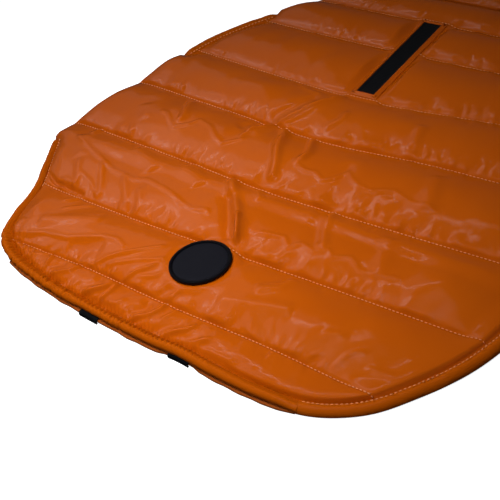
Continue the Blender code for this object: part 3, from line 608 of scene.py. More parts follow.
    @staticmethod
    def pressed(x, y):
        """Share and height of the flat seats under the badge and the lead opening."""
        gap = np.hypot(x - BADGE_X, y - BADGE_Y) - BADGE_RADIUS
        badge = 1.0 - smooth_step(gap / SEAT_RAMP)
        beside = np.abs(x - WINDOW_X) - WINDOW_HALF
        beyond = np.maximum(WINDOW_START_Y - WELT_WIDTH - y, y - WINDOW_END_Y - WELT_WIDTH)
        window = 1.0 - smooth_step(np.maximum(beside, beyond) / SEAT_RAMP)
        seat = np.where(badge > 0, BADGE_SEAT + BADGE_SLOPE * (y - BADGE_Y), WINDOW_SEAT)
        return np.maximum(badge, window), seat

    @classmethod
    def padding(cls, x, y, distance):
        """Thickness of the quilted cloth, away from the panel's edges."""
        loft, d, ring = cls.loft(x, y, distance)
        soft = sum(height * ripple(x, y, across, seed, along)
                   for height, across, seed, along in SOFT_WAVES) * ring
        folds = cls.creases(x, y) + cls.puckers(x, d) + cls.blisters(x, y, d) + cls.lip(x, d)
        return SEAM_THICKNESS + loft + soft + folds - SEAM_GROOVE * bell(d, SEAM_GROOVE)

    def softness(self, x, y, place, foot_x):
        """Width over which the padding rises from a sewn edge."""
        width = between(EDGE_SOFTNESS, RIGHT_SOFTNESS, smooth_step((x - 70.0) / 90.0))
        left = smooth_step((-130.0 - x) / 40.0) * smooth_step((140.0 - y) / 25.0)
        width = between(width, LEFT_SOFTNESS, left)
        hem = read_table(GATHERS, foot_x) * (place < self.tail_count) * (y < 60.0)
        return between(width, HEM_SOFTNESS, hem)

    @staticmethod
    def beside_bindings(x, y, distance):
        """The groove that each binding's stitches pull in, and the swelling past it."""
        right = smooth_step((x - 60.0) / 60.0)
        left = smooth_step((-185.0 - x) / 20.0)
        bulge = smooth_step((distance - 2.0) / 2.4)
        bulge = bulge * bell(np.clip(distance - 4.4, 0.0, None), 11.0)
        groove = between(1.3, 1.9, smooth_step(-x / 100.0)) * bell(distance - 1.5, 1.1)
        both = (RIGHT_BULGE * right + LEFT_BULGE * left) * bulge - groove * (right + left)
        return both * smooth_step((BINDING_END_Y - y) / 12.0)

    def top(self, x, y):
        """Height of the shell's outer face, in mm."""
        x, y = np.asarray(x, float), np.asarray(y, float)
        distance, bound, place, foot_x = self.near_edge(x, y)
        inner = self.padding(x, y, distance)
        rise = np.clip(distance / self.softness(x, y, place, foot_x), 0.0, 1.0)
        sewn = between(EDGE_THICKNESS, inner, np.sin(rise * math.pi / 2))
        sewn = sewn + self.beside_bindings(x, y, distance)
        corner = 16.0 * bell(y - 166.0, 14.0) * (x < 0)
        reach = np.clip(distance / (EDGE_SOFTNESS + corner), 0.0, 1.0)
        rolled = between(FOLD_EDGE_THICKNESS, inner, rounded(reach))
        height = base_at(y) + between(rolled, sewn, bound)
        height = height + self.gathers(distance, place, foot_x)
        share, seat = self.pressed(x, y)
        return between(height, seat, share)


QUILT = Quilting()
ROWS = (34, 46, 46, 46, 40, 16, 10, 8)      # rows of the mesh in each channel
COLUMNS = 376
CROWDING = 0.55                             # how far those rows crowd towards the seams
# Spacing of the columns from the left edge to the right: share of the way, spacing
COLUMN_SPACING = ((0.0, 1.35), (0.35, 1.15), (0.6, 0.9), (1.0, 0.75))


def row_shares(count):
    """Shares of a channel's height, closer together by its seams."""
    t = np.linspace(0.0, 1.0, count + 1)
    return between(t, smooth_step(t), CROWDING)


def cloth_grid(quilt):
    """Grid of (x, y) over the panel, with a row on every seam."""
    loop = quilt.edge
    middle = int(np.argmin(np.abs(loop[:quilt.tail_count, 0])))
    neck_right = int(np.argmin(np.hypot(loop[:, 0] - SIDE_EDGE[-1][2], loop[:, 1] - NECK_Y)))
    neck_left = int(np.argmin(np.hypot(loop[:, 0] - SIDE_EDGE[-1][1], loop[:, 1] - NECK_Y)))
    right = loop[middle:neck_right + 1]
    left = np.vstack((loop[neck_left:], loop[:middle + 1]))[::-1]
    weight = np.linspace(0.0, 1.0, COLUMNS + 1)
    density = read_table(COLUMN_SPACING, weight)
    u = np.concatenate(([0.0], np.cumsum(density[1:] + density[:-1])))
    u = np.interp(np.linspace(0, 1, COLUMNS + 1), u / u[-1], weight)

    def share_of(line, k):
        """How far up channel k each point of a line lies."""
        low = seam_line(k - 1, line[:, 0])
        high = seam_line(k, line[:, 0]) if k < len(SEAMS) else np.full(len(line), NECK_Y)
        return (line[:, 1] - low) / (high - low)

    def ends(k, shares):
        """Where the rows of channel k meet the left edge and the right one."""
        spots = []
        for line in (left, right):
            found = np.maximum.accumulate(share_of(line, k))
            spots.append([np.interp(shares, found, line[:, i]) for i in (0, 1)])
        return spots

    rows = []
    (lx, ly), (rx, ry) = ends(1, np.array([0.0]))
    seam_x = between(lx[0], rx[0], u)
    seam_top = seam_line(0, seam_x)
    left_cut = int(np.argmin(np.hypot(left[:, 0] - lx[0], left[:, 1] - ly[0])))
    right_cut = int(np.argmin(np.hypot(right[:, 0] - rx[0], right[:, 1] - ry[0])))
    hem = np.vstack((left[:left_cut + 1][::-1], right[1:right_cut + 1]))
    reach = np.concatenate(([0.0], np.cumsum(np.linalg.norm(np.diff(hem, axis=0), axis=1))))
    hem_x = np.interp(u, reach / reach[-1], hem[:, 0])
    hem_y = np.interp(u, reach / reach[-1], hem[:, 1])
    hem_x[[0, -1]], hem_y[[0, -1]] = seam_x[[0, -1]], seam_top[[0, -1]]
    for share in row_shares(ROWS[0])[:-1]:
        rows.append(np.stack((between(hem_x, seam_x, share), between(hem_y, seam_top, share)), 1))
    for k in range(1, len(ROWS)):
        shares = row_shares(ROWS[k])
        if k < len(ROWS) - 1:
            shares = shares[:-1]
        (lx, _), (rx, _) = ends(k, shares)
        for share, x0, x1 in zip(shares, lx, rx):
            x = between(x0, x1, u)
            low = seam_line(k - 1, x)
            high = seam_line(k, x) if k < len(SEAMS) else np.full_like(x, NECK_Y)
            rows.append(np.stack((x, between(low, high, share)), 1))
    return np.array(rows)


def underside(loop):
    """Triangles over a closed outline, with creases where the cloth steps up onto the flaps."""
    count = len(loop)
    flat = [(float(x), float(y)) for x, y in loop]
    edges = [(i, (i + 1) % count) for i in range(count)]
    for y in (SKIRT_END_Y, (SKIRT_END_Y + FOLD_START_Y) / 2, FOLD_START_Y):
        first = len(flat)
        flat += [(float(x), y) for x in np.arange(-220.0, 221.0, 20.0)]
        edges += [(i, i + 1) for i in range(first, len(flat) - 1)]
    spots, _, triangles, origins, _, _ = delaunay_2d_cdt(flat, edges, [], 1, 0.001)
    place = {}
    for i, source in enumerate(origins):
        for j in source:
            place[j] = i
    return [(x, y) for x, y in spots], triangles, [place[i] for i in range(count)]


PANEL_EDGE = ((0.9, 0.72), (1.3, 0.45), (0.9, 0.2), (0.0, 0.0))     # outwards, share of height


def panel_mesh(quilt):
    """Closed wall of the back panel: fine shell, turned edge and plain underside."""
    grid = cloth_grid(quilt)
    count_r, count_c = grid.shape[:2]
    flat = grid.reshape(-1, 2)
    z = quilt.top(flat[:, 0], flat[:, 1])
    points = np.column_stack((flat, z))
    index = np.arange(len(flat)).reshape(count_r, count_c)
    index[:ROWS[0], 0] = index[ROWS[0], 0]
    index[:ROWS[0], -1] = index[ROWS[0], -1]
    faces = []
    for r in range(count_r - 1):
        a, b = index[r], index[r + 1]
        for c in range(count_c - 1):
            face = (a[c], a[c + 1], b[c + 1], b[c])
            if a[c] == b[c]:
                face = (a[c], a[c + 1], b[c + 1])
            elif a[c + 1] == b[c + 1]:
                face = (a[c], a[c + 1], b[c])
            faces.append(tuple(int(i) for i in face))
    rim = list(index[0, 1:-1]) + list(index[ROWS[0]:, -1]) + list(index[-1, :-1][::-1])
    rim += list(index[ROWS[0]:-1, 0][::-1])
    rim = [int(i) for i in rim]
    loop = points[rim]
    out = -inward(loop[:, :2], closed=True)
    near = quilt.near_edge(loop[:, 0], loop[:, 1])
    fold = (1.0 - near[1]) * (loop[:, 1] < NECK_Y - 2.0)
    base = base_at(loop[:, 1])
    rings = [rim]
    total = [tuple(p) for p in points]
    for spread, share in PANEL_EDGE:
        first = len(total)
        ring = np.column_stack((loop[:, :2] + out * (spread * fold)[:, None],
                                between(base, loop[:, 2], share)))
        total += [tuple(p) for p in ring]
        rings.append(list(range(first, first + len(rim))))
    for upper, lower in zip(rings, rings[1:]):
        for i in range(len(rim)):
            j = (i + 1) % len(rim)
            faces.append((upper[i], lower[i], lower[j], upper[j]))
    spots, triangles, places = underside(loop[:, :2])
    first = len(total)
    number = {}
    for ring_place, spot in enumerate(places):
        number[spot] = rings[-1][ring_place]
    for i, (x, y) in enumerate(spots):
        if i not in number:
            number[i] = len(total)
            total.append((x, y, float(base_at(y))))
    faces += [tuple(number[i] for i in reversed(t)) for t in triangles]
    return total, faces


# --- objects, materials and trees ------------------------------------------------------------

def add_node(tree, kind, inputs=None, **settings):
    """A node with its settings, its input values and its incoming links."""
    made = tree.nodes.new(kind)
    for name, value in settings.items():
        setattr(made, name, value)
    for name, value in (inputs or {}).items():
        socket = made.inputs[name]
        if isinstance(value, bpy.types.NodeSocket):
            tree.links.new(value, socket)
        else:
            socket.default_value = value
    return made


def add_object(name, data):
    """An object of the scene that holds the given mesh, lamp or camera."""
    made = bpy.data.objects.new(name, data)
    bpy.context.scene.collection.objects.link(made)
    return made


def add_mesh(name, points, faces, material, slot, node):
    """A finished piece that rides on the coat's one body and takes its solid's place."""
    mesh = bpy.data.meshes.new(name)
    mesh.from_pydata([tuple(p) for p in to_frame(points)], [], faces)
    shape = bmesh.new()
    shape.from_mesh(mesh)
    bmesh.ops.remove_doubles(shape, verts=shape.verts, dist=1e-6)
    bmesh.ops.dissolve_degenerate(shape, edges=shape.edges, dist=1e-7)
    bmesh.ops.recalc_face_normals(shape, faces=shape.faces)
    shape.to_mesh(mesh)
    shape.free()
    mesh.validate()
    mesh.shade_smooth()
    mesh.materials.append(material)
    piece = add_object(name, mesh)
    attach(piece, "root")
    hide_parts(node)
    return piece


def new_material(name):
    """An empty material in place of any earlier one of that name, and its tree."""
    material = bpy.data.materials.get(name)
    if material:
        bpy.data.materials.remove(material)
    material = bpy.data.materials.new(name)
    material.use_nodes = True
    tree = material.node_tree
    tree.nodes.clear()
    return material, tree


def coated_nylon(name, colour, deep, roughness, crinkle=1.0, gloss=0.5):
    """Downproof nylon taffeta with a wet-look polyurethane film: an even saturated colour
    under a smooth, slightly crinkled gloss.

    The colour changes over 45 mm and the film's gloss over 10 mm. The crinkles are 4 and 1 mm
    wide, because the taffeta's own threads are too fine to show.
    """
    material, tree = new_material(name)
    place = add_node(tree, "ShaderNodeTexCoord").outputs["Object"]
    shade = add_node(tree, "ShaderNodeTexNoise", {"Vector": place, "Scale": 22.0, "Detail": 3.0})
    mix = add_node(tree, "ShaderNodeMix", {"Factor": shade.outputs["Fac"], "A": colour, "B": deep},
                   data_type="RGBA")
    film = add_node(tree, "ShaderNodeTexNoise", {"Vector": place, "Scale": 95.0, "Detail": 2.0})
    rough = add_node(tree, "ShaderNodeMapRange", {
        "Value": film.outputs["Fac"], "From Min": 0.3, "From Max": 0.7,
        "To Min": roughness - 0.04, "To Max": roughness + 0.05})
    soft = add_node(tree, "ShaderNodeTexNoise", {"Vector": place, "Scale": 260.0, "Detail": 3.0,
                                                 "Roughness": 0.55})
    fine = add_node(tree, "ShaderNodeTexNoise", {"Vector": place, "Scale": 900.0, "Detail": 2.0})
    bump_soft = add_node(tree, "ShaderNodeBump", {
        "Height": soft.outputs["Fac"], "Strength": 0.35 * crinkle, "Distance": 0.0006})
    bump = add_node(tree, "ShaderNodeBump", {
        "Height": fine.outputs["Fac"], "Strength": 0.12 * crinkle, "Distance": 0.0002,
        "Normal": bump_soft.outputs["Normal"]})
    shader = add_node(tree, "ShaderNodeBsdfPrincipled", {
        "Base Color": mix.outputs["Result"], "Roughness": rough.outputs["Result"],
        "IOR": 1.5, "Specular IOR Level": gloss, "Normal": bump.outputs["Normal"]})
    add_node(tree, "ShaderNodeOutputMaterial", {"Surface": shader.outputs["BSDF"]})
    return material


def sewing_thread(name, colour):
    """Bonded polyester thread: lighter than the cloth, with a silky shine and a 1 mm twist."""
    material, tree = new_material(name)
    place = add_node(tree, "ShaderNodeTexCoord").outputs["Object"]
    twist = add_node(tree, "ShaderNodeTexNoise", {"Vector": place, "Scale": 900.0})
    bump = add_node(tree, "ShaderNodeBump", {"Height": twist.outputs["Fac"], "Strength": 0.3,
                                             "Distance": 0.0002})
    shader = add_node(tree, "ShaderNodeBsdfPrincipled", {
        "Base Color": colour, "Roughness": 0.5, "Specular IOR Level": 0.25,
        "Normal": bump.outputs["Normal"]})
    add_node(tree, "ShaderNodeOutputMaterial", {"Surface": shader.outputs["BSDF"]})
    return material


def moulded_rubber(name, colour, roughness):
    """Silicone rubber from a grained mould: charcoal, nearly matt, with a 0.8 mm grain."""
    material, tree = new_material(name)
    place = add_node(tree, "ShaderNodeTexCoord").outputs["Object"]
    grain = add_node(tree, "ShaderNodeTexNoise", {"Vector": place, "Scale": 1300.0, "Detail": 3.0})
    smudge = add_node(tree, "ShaderNodeTexNoise", {"Vector": place, "Scale": 70.0, "Detail": 2.0})
    rough = add_node(tree, "ShaderNodeMapRange", {
        "Value": smudge.outputs["Fac"], "To Min": roughness - 0.08, "To Max": roughness + 0.08})
    bump = add_node(tree, "ShaderNodeBump", {"Height": grain.outputs["Fac"], "Strength": 0.35,
                                             "Distance": 0.0003})
    shader = add_node(tree, "ShaderNodeBsdfPrincipled", {
        "Base Color": colour, "Roughness": rough.outputs["Result"],
        "Specular IOR Level": 0.15, "Normal": bump.outputs["Normal"]})
    add_node(tree, "ShaderNodeOutputMaterial", {"Surface": shader.outputs["BSDF"]})
    return material


def woven_tape(name, colour):
    """Black polyester grosgrain, ribbed across every millimetre."""
    material, tree = new_material(name)
    place = add_node(tree, "ShaderNodeTexCoord").outputs["Object"]
    rib = add_node(tree, "ShaderNodeTexWave", {"Vector": place, "Scale": 320.0, "Distortion": 0.6},
                   bands_direction="X")
    bump = add_node(tree, "ShaderNodeBump", {"Height": rib.outputs["Fac"], "Strength": 0.5,
                                             "Distance": 0.0003})
    shader = add_node(tree, "ShaderNodeBsdfPrincipled", {
        "Base Color": colour, "Roughness": 0.7, "Specular IOR Level": 0.2,
        "Normal": bump.outputs["Normal"]})
    add_node(tree, "ShaderNodeOutputMaterial", {"Surface": shader.outputs["BSDF"]})
    return material


def stitch_tree(material, pitch, length, radius):
    """Geometry nodes: a rounded stitch at every pitch along each line of the mesh."""
    tree = bpy.data.node_groups.new("Stitches", "GeometryNodeTree")
    face = tree.interface
    face.new_socket("Lines", in_out="INPUT", socket_type="NodeSocketGeometry")
    for name, value in (("Pitch", pitch), ("Stitch length", length), ("Thread radius", radius)):
        socket = face.new_socket(name, in_out="INPUT", socket_type="NodeSocketFloat")
        socket.default_value = value
        socket.subtype = "DISTANCE"
    face.new_socket("Stitches", in_out="OUTPUT", socket_type="NodeSocketGeometry")
    given = add_node(tree, "NodeGroupInput").outputs
    line = add_node(tree, "GeometryNodeMeshToCurve", {"Mesh": given["Lines"]})
    spots = add_node(tree, "GeometryNodeCurveToPoints",
                     {"Curve": line.outputs["Curve"], "Length": given["Pitch"]}, mode="LENGTH")
    turn = add_node(tree, "FunctionNodeAlignRotationToVector",
                    {"Vector": spots.outputs["Tangent"]}, axis="X")
    ball = add_node(tree, "GeometryNodeMeshUVSphere", {"Segments": 6, "Rings": 5, "Radius": 1.0})
    half = add_node(tree, "ShaderNodeMath", {0: given["Stitch length"], 1: 0.5},
                    operation="MULTIPLY")
    size = add_node(tree, "ShaderNodeCombineXYZ", {
        "X": half.outputs["Value"], "Y": given["Thread radius"], "Z": given["Thread radius"]})
    shaped = add_node(tree, "GeometryNodeTransform", {
        "Geometry": ball.outputs["Mesh"], "Scale": size.outputs["Vector"]})
    placed = add_node(tree, "GeometryNodeInstanceOnPoints", {
        "Points": spots.outputs["Points"], "Instance": shaped.outputs["Geometry"],
        "Rotation": turn.outputs["Rotation"]})
    real = add_node(tree, "GeometryNodeRealizeInstances",
                    {"Geometry": placed.outputs["Instances"]})
    smooth = add_node(tree, "GeometryNodeSetShadeSmooth",
                      {"Geometry": real.outputs["Geometry"]})
    coloured = add_node(tree, "GeometryNodeSetMaterial", {
        "Geometry": smooth.outputs["Geometry"], "Material": material})
    add_node(tree, "NodeGroupOutput", {"Stitches": coloured.outputs["Geometry"]})
    return tree


def add_stitches(name, lines, material, pitch, length, radius):
    """One piece of stitches along several lines of points in mm."""
    tree = stitch_tree(material, pitch * MM, length * MM, radius * MM)
    points, edges = [], []
    for line in lines:
        first = len(points)
        points += [tuple(p) for p in to_frame(line)]
        edges += [(i, i + 1) for i in range(first, len(points) - 1)]
    mesh = bpy.data.meshes.new(name + "_lines")
    mesh.from_pydata(points, edges, [])
    holder = add_object(name + "_lines", mesh)
    modifier = holder.modifiers.new("Stitches", "NODES")
    modifier.node_group = tree
    bpy.context.view_layer.update()
    depsgraph = bpy.context.evaluated_depsgraph_get()
    made = bpy.data.meshes.new_from_object(holder.evaluated_get(depsgraph))
    made.name = name
    bpy.data.objects.remove(holder)
    if not made.polygons:
        raise RuntimeError(name + " has no stitches")
    piece = add_object(name, made)
    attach(piece, "root")


def swept(path, side, sections, closed=False):
    """Tube along a path; each section lists (distance inwards, height) all round."""
    points = []
    for spot, inner, section in zip(path, side, sections):
        section = np.asarray(section)
        points.append(np.column_stack((spot[0] + inner[0] * section[:, 0],
                                       spot[1] + inner[1] * section[:, 0], section[:, 1])))
    count, size = len(path), len(sections[0])
    faces = []
    for i in range(count if closed else count - 1):
        a, b = i * size, (i + 1) % count * size
        for k in range(size):
            m = (k + 1) % size
            faces.append((a + k, b + k, b + m, a + m))
    if not closed:
        faces.append(tuple(range(size)))
        last = (count - 1) * size
        faces.append(tuple(reversed(range(last, last + size))))
    return np.vstack(points), faces


def tail_path(start, end, step):
    """Stretch of the coat's tail edge between two tests on (x, y)."""
    whole = curve_through(TAIL_EDGE, 0.5)
    first = next(i for i, p in enumerate(whole) if start(*p))
    last = next(i for i, p in enumerate(whole) if i > first and end(*p))
    path = evenly(whole[first:last + 1], step)
    return path, inward(path)


# Section of a binding: distance inwards, share of its height
BINDING_SHAPE = ((0.9, 0.0), (0.2, 0.1), (0.0, 0.26), (0.3, 0.46), (1.1, 0.68), (2.4, 0.87),
                 (4.0, 0.98), (5.4, 1.0), (6.6, 0.94), (7.6, 0.84), (8.4, 0.74), (9.2, 0.66),
                 (9.9, 0.5), (10.2, 0.0))
STITCH_SHARE = 0.74         # height of the binding under its stitches, of its full height


def binding_sections(path, base, fullness, seed):
    """Rounded binding with slight puckers across it."""
    sections = []
    shape = np.array(BINDING_SHAPE)
    k = np.arange(len(shape))
    run = np.arange(len(path)) * np.linalg.norm(path[1] - path[0])
    for i, place in enumerate(run):
        wave = ripple(place + 0.8 * k, k * 0.6, 3.6, seed) * 0.16
        wave = wave + ripple(place, k * 0.4, 14.0, seed + 1) * 0.3
        wave = wave * np.clip(shape[:, 1] * 2.0, 0.0, 1.0)
        height = (BINDING_HEIGHT * shape[:, 1] + wave) * fullness[i] + base[i]
        sections.append(np.column_stack((shape[:, 0] - 0.3 * wave * (k < 5), height)))
    return sections


def casing_sections(path):
    """Elastic casing: slanting pleats on the tube and crimps along its inner seam."""
    shape = np.array([(2.4, CASING_BASE), (1.0, CASING_BASE + 0.2), (0.2, CASING_BASE + 1.2),
                      (-0.1, CASING_BASE + 2.6), (0.3, CASING_BASE + 4.0), (1.1, 7.8), (2.3, 8.6),
                      (3.6, CASING_HEIGHT), (4.9, 8.4), (6.1, 7.5), (7.2, 6.2), (8.4, 4.9),
                      (9.8, 3.8), (10.2, CASING_BASE)])
    step = np.linalg.norm(path[1] - path[0])
    k = np.arange(len(shape))
    normal = np.stack((-np.gradient(shape[:, 1]), np.gradient(shape[:, 0])), axis=1)
    normal /= np.linalg.norm(normal, axis=1)[:, None]
    tube = np.interp(k, [0, 2, 4, 8, 11, 13], [0.0, 0.8, 1.0, 1.0, 0.4, 0.0])
    seam = np.interp(k, [6, 9, 11, 13], [0.0, 0.8, 1.0, 0.0])
    sections = []
    for i, (x, _) in enumerate(path):
        place = i * step
        lean = place + 0.4 * k + 2.2 * ripple(place, k * 0.3, 17.0, 41)
        wave = 0.7 * np.cos(2 * math.pi * lean / PLEAT_PITCH)
        wave = wave + 1.1 * ripple(lean, k * 0.22, 2.9, 42)
        crimp = np.cos(2 * math.pi * lean / CRIMP_PITCH) - 0.4
        sway = 0.4 * ripple(place, k * 0.2, 24.0, 43)
        deep = bell(x - np.array(DEEP_PLEATS), 0.7).sum()
        push = (0.6 * read_table(PLEATS, x) * wave - 1.1 * deep + sway) * tube
        push = push + CASING_CRIMP * read_table(PLEATS, x, 2) * crimp * seam
        from_end = min(place, (len(path) - 1 - i) * step)
        section = shape + normal * (push * min(1.0, from_end / 5.0))[:, None]
        lower = smooth_step(1.0 - from_end / 16.0)
        section[:, 1] *= between(1.0, BINDING_HEIGHT / CASING_HEIGHT, lower)
        sections.append(section)
    return sections


def slab_mesh(rows, low, high):
    """Closed solid over rows of (x, y), with arrays for the heights of its two faces."""
    rows = np.asarray(rows, float)
    count, across = rows.shape[:2]
    size = count * across
    flat = rows.reshape(-1, 2)
    points = np.vstack((np.column_stack((flat, np.asarray(low).reshape(-1))),
                        np.column_stack((flat, np.asarray(high).reshape(-1)))))
    faces = []
    for i in range(count - 1):
        for j in range(across - 1):
            a = i * across + j
            faces.append((a, a + across, a + across + 1, a + 1))
            faces.append((size + a, size + a + 1, size + a + across + 1, size + a + across))
    rim = list(range(across)) + [i * across + across - 1 for i in range(1, count)]
    rim += [(count - 1) * across + j for j in range(across - 2, -1, -1)]
    rim += [i * across for i in range(count - 2, 0, -1)]
    for a, b in zip(rim, rim[1:] + rim[:1]):
        faces.append((a, b, size + b, size + a))
    return points, faces


def cloth_slab(rows, thickness, seed):
    """Heights of a thin padded flap's two faces: rounded edges and a faint hem all round."""
    gap = np.full(rows.shape[:2], np.inf)
    rim = np.vstack((rows[0], rows[1:, -1], rows[-1, ::-1], rows[1:-1, 0][::-1]))
    for spot in rim:
        gap = np.minimum(gap, np.hypot(rows[..., 0] - spot[0], rows[..., 1] - spot[1]))
    edge = rounded(np.clip(gap / FLAP_ROUNDING, 0.0, 1.0))
    hem = -0.35 * bell(gap - FLAP_HEM, 0.9)
    wave = 0.16 * ripple(rows[..., 0], rows[..., 1], 19.0, seed) * np.clip(gap / 6.0, 0, 1)
    return np.zeros_like(gap), thickness * between(0.35, 1.0, edge) + hem + wave - 0.2


# --- operators -------------------------------------------------------------------------------

SHELL_CLOTH = "Coated nylon taffeta"


class CoatSizes(bpy.types.PropertyGroup):
    """Sizes of the sewing"""
    stitch_pitch: FloatProperty(name="Stitch pitch",
                                description="Length of one stitch and its gap",
                                default=3.3 * MM, unit="LENGTH", precision=4)
    stitch_length: FloatProperty(name="Stitch length", description="Visible length of one stitch",
                                 default=2.4 * MM, unit="LENGTH", precision=4)
    thread_radius: FloatProperty(name="Thread radius", description="Half the thread's thickness",
                                 default=0.42 * MM, unit="LENGTH", precision=5)


class CoatColours(bpy.types.PropertyGroup):
    """Colours of the cloth, the thread and the trim"""
    shell: FloatVectorProperty(name="Shell", description="Nylon of the shell", size=4,
                               subtype="COLOR", default=linear("#B55102"), min=0, max=1)
    shell_deep: FloatVectorProperty(name="Shell, deeper", size=4, subtype="COLOR",
                                    description="Darker places of the shell",
                                    default=linear("#AF4C02"), min=0, max=1)
    binding: FloatVectorProperty(name="Binding", description="Tighter woven nylon of the bindings",
                                 size=4, subtype="COLOR", default=linear("#AA4C02"), min=0, max=1)
    facing: FloatVectorProperty(name="Facing", description="Darker layer under the hem", size=4,
                                subtype="COLOR", default=linear("#9A4A14"), min=0, max=1)
    thread: FloatVectorProperty(name="Thread", description="Sewing thread", size=4,
                                subtype="COLOR", default=linear("#D98B57"), min=0, max=1)
    badge: FloatVectorProperty(name="Badge", description="Moulded rubber", size=4,
                               subtype="COLOR", default=linear("#131319"), min=0, max=1)
    tape: FloatVectorProperty(name="Tape", description="Ribbed tape", size=4,
                              subtype="COLOR", default=linear("#0C0D10"), min=0, max=1)


class COAT_OT_back(bpy.types.Operator):
    """Makes the quilted back panel"""
    bl_idname = "coat.back"
    bl_label = "Quilted back"

    def execute(self, context):
        colours = context.scene.coat_colours
        cloth = coated_nylon(SHELL_CLOTH, colours.shell, colours.shell_deep, roughness=0.1,
                             crinkle=0.5, gloss=0.4)
        piece = add_mesh("quilted_back", *panel_mesh(QUILT), cloth, "shell_nylon", "back_panel")
        return {"FINISHED"}


class COAT_OT_edges(bpy.types.Operator):
    """Makes the bindings, the gathered hem casing and its facing"""
    bl_idname = "coat.edges"
    bl_label = "Bindings and hem"

    def execute(self, context):
        colours = context.scene.coat_colours
        cloth = coated_nylon("Nylon binding", colours.binding, colours.binding, roughness=0.35,
                             gloss=0.05)
        lining = coated_nylon("Nylon facing", colours.facing, colours.facing, roughness=0.5,
                              gloss=0.2)
        left, side = tail_path(lambda x, y: y < BINDING_TOP_Y, lambda x, y: y < JOIN_Y, 1.0)
        fullness = smooth_step(0.5 + (BINDING_TOP_Y - left[:, 1]) / 6.0)
        sections = binding_sections(left, np.zeros(len(left)), fullness, 51)
        for section, share in zip(sections, QUILT.width_share(left)):
            section[:, 0] *= share
        piece = add_mesh("left_binding", *swept(left, side, sections), cloth, "edge_nylon",
                         "edge_binding_left")
        right, side = tail_path(lambda x, y: x > PINCH_X - 1.4,
                                lambda x, y: x > 200 and y > BINDING_TOP_Y, 1.0)
        fullness = smooth_step(0.35 + (BINDING_TOP_Y - right[:, 1]) / 12.0)
        sections = binding_sections(right, np.zeros(len(right)), fullness, 53)
        piece = add_mesh("right_binding", *swept(right, side, sections), cloth, "edge_nylon",
                         "edge_binding_right")
        hem, side = tail_path(lambda x, y: y < JOIN_Y, lambda x, y: x > PINCH_X, 0.55)
        piece = add_mesh("gathered_casing", *swept(hem, side, casing_sections(hem)), cloth,
                         "edge_nylon", "hem_casing")
        hem, side = tail_path(lambda x, y: x > FACING_START_X and y < JOIN_Y,
                              lambda x, y: x > PINCH_X - 2.0, 1.0)
        sections = []
        for i, (x, y) in enumerate(hem):
            reach = -read_table(FACING_REACH, x) + 0.3 * ripple(i * 1.0, 0.0, 11.0, 61)
            sections.append([(9.5, 0.0), (reach + 0.8, 0.0), (reach + 0.2, 0.4), (reach, 1.1),
                             (reach + 0.2, 1.9), (reach + 0.8, FACING_HEIGHT), (3.0, 2.5),
                             (9.5, 2.5)])
        piece = add_mesh("facing_strip", *swept(hem, side, sections), lining, "facing_nylon",
                         "hem_facing")
        for name, column, node in (("left_leg_binding", 1, "leg_binding_left"),
                                   ("right_leg_binding", 2, "leg_binding_right")):
            path = side_curve(column, FOLD_END_Y + 1.0, CHEST_START_Y - 1.0, 1.0)
            inner = inward(path) * (-1 if column == 1 else 1)
            ends = np.minimum(path[:, 1] - path[0, 1], path[-1, 1] - path[:, 1])
            sections = binding_sections(path, np.full(len(path), UPPER_BASE),
                                        smooth_step(0.3 + ends / 14.0), 55 + column)
            piece = add_mesh(name, *swept(path, inner, sections), cloth, "edge_nylon", node)
        return {"FINISHED"}


class COAT_OT_tabs(bpy.types.Operator):
    """Makes the two tape tabs on the hem"""
    bl_idname = "coat.tabs"
    bl_label = "Hem tabs"

    def execute(self, context):
        tape = woven_tape("Polyester grosgrain", context.scene.coat_colours.tape)
        for centre, node in zip(TAB_CENTRES, ("hem_tab_left", "hem_tab_right")):
            step = 0.25
            hem, side = tail_path(lambda x, y: x > centre - TAB_WIDTH / 2,
                                  lambda x, y: x > centre + TAB_WIDTH / 2, step)
            reach = -float(read_table(FACING_REACH, centre))
            sections = []
            for i in range(len(hem)):
                rib = 0.12 * math.cos(2 * math.pi * i * step / TAB_RIB_PITCH)
                out = reach - 1.5 - rib
                sections.append([(1.0, 2.7), (reach - 0.3, 2.5), (reach - 0.3, 0.0), (out, 0.0),
                                 (out - 0.1, 1.6), (out + 0.15, 3.0), (out + 0.7, 3.8 + rib),
                                 (reach + 1.0, 4.1 + rib), (1.0, 4.2 + rib)])
            piece = add_mesh(node.replace("hem_tab", "tape_tab"), *swept(hem, side, sections),
                             tape, "black_tape", node)
        return {"FINISHED"}


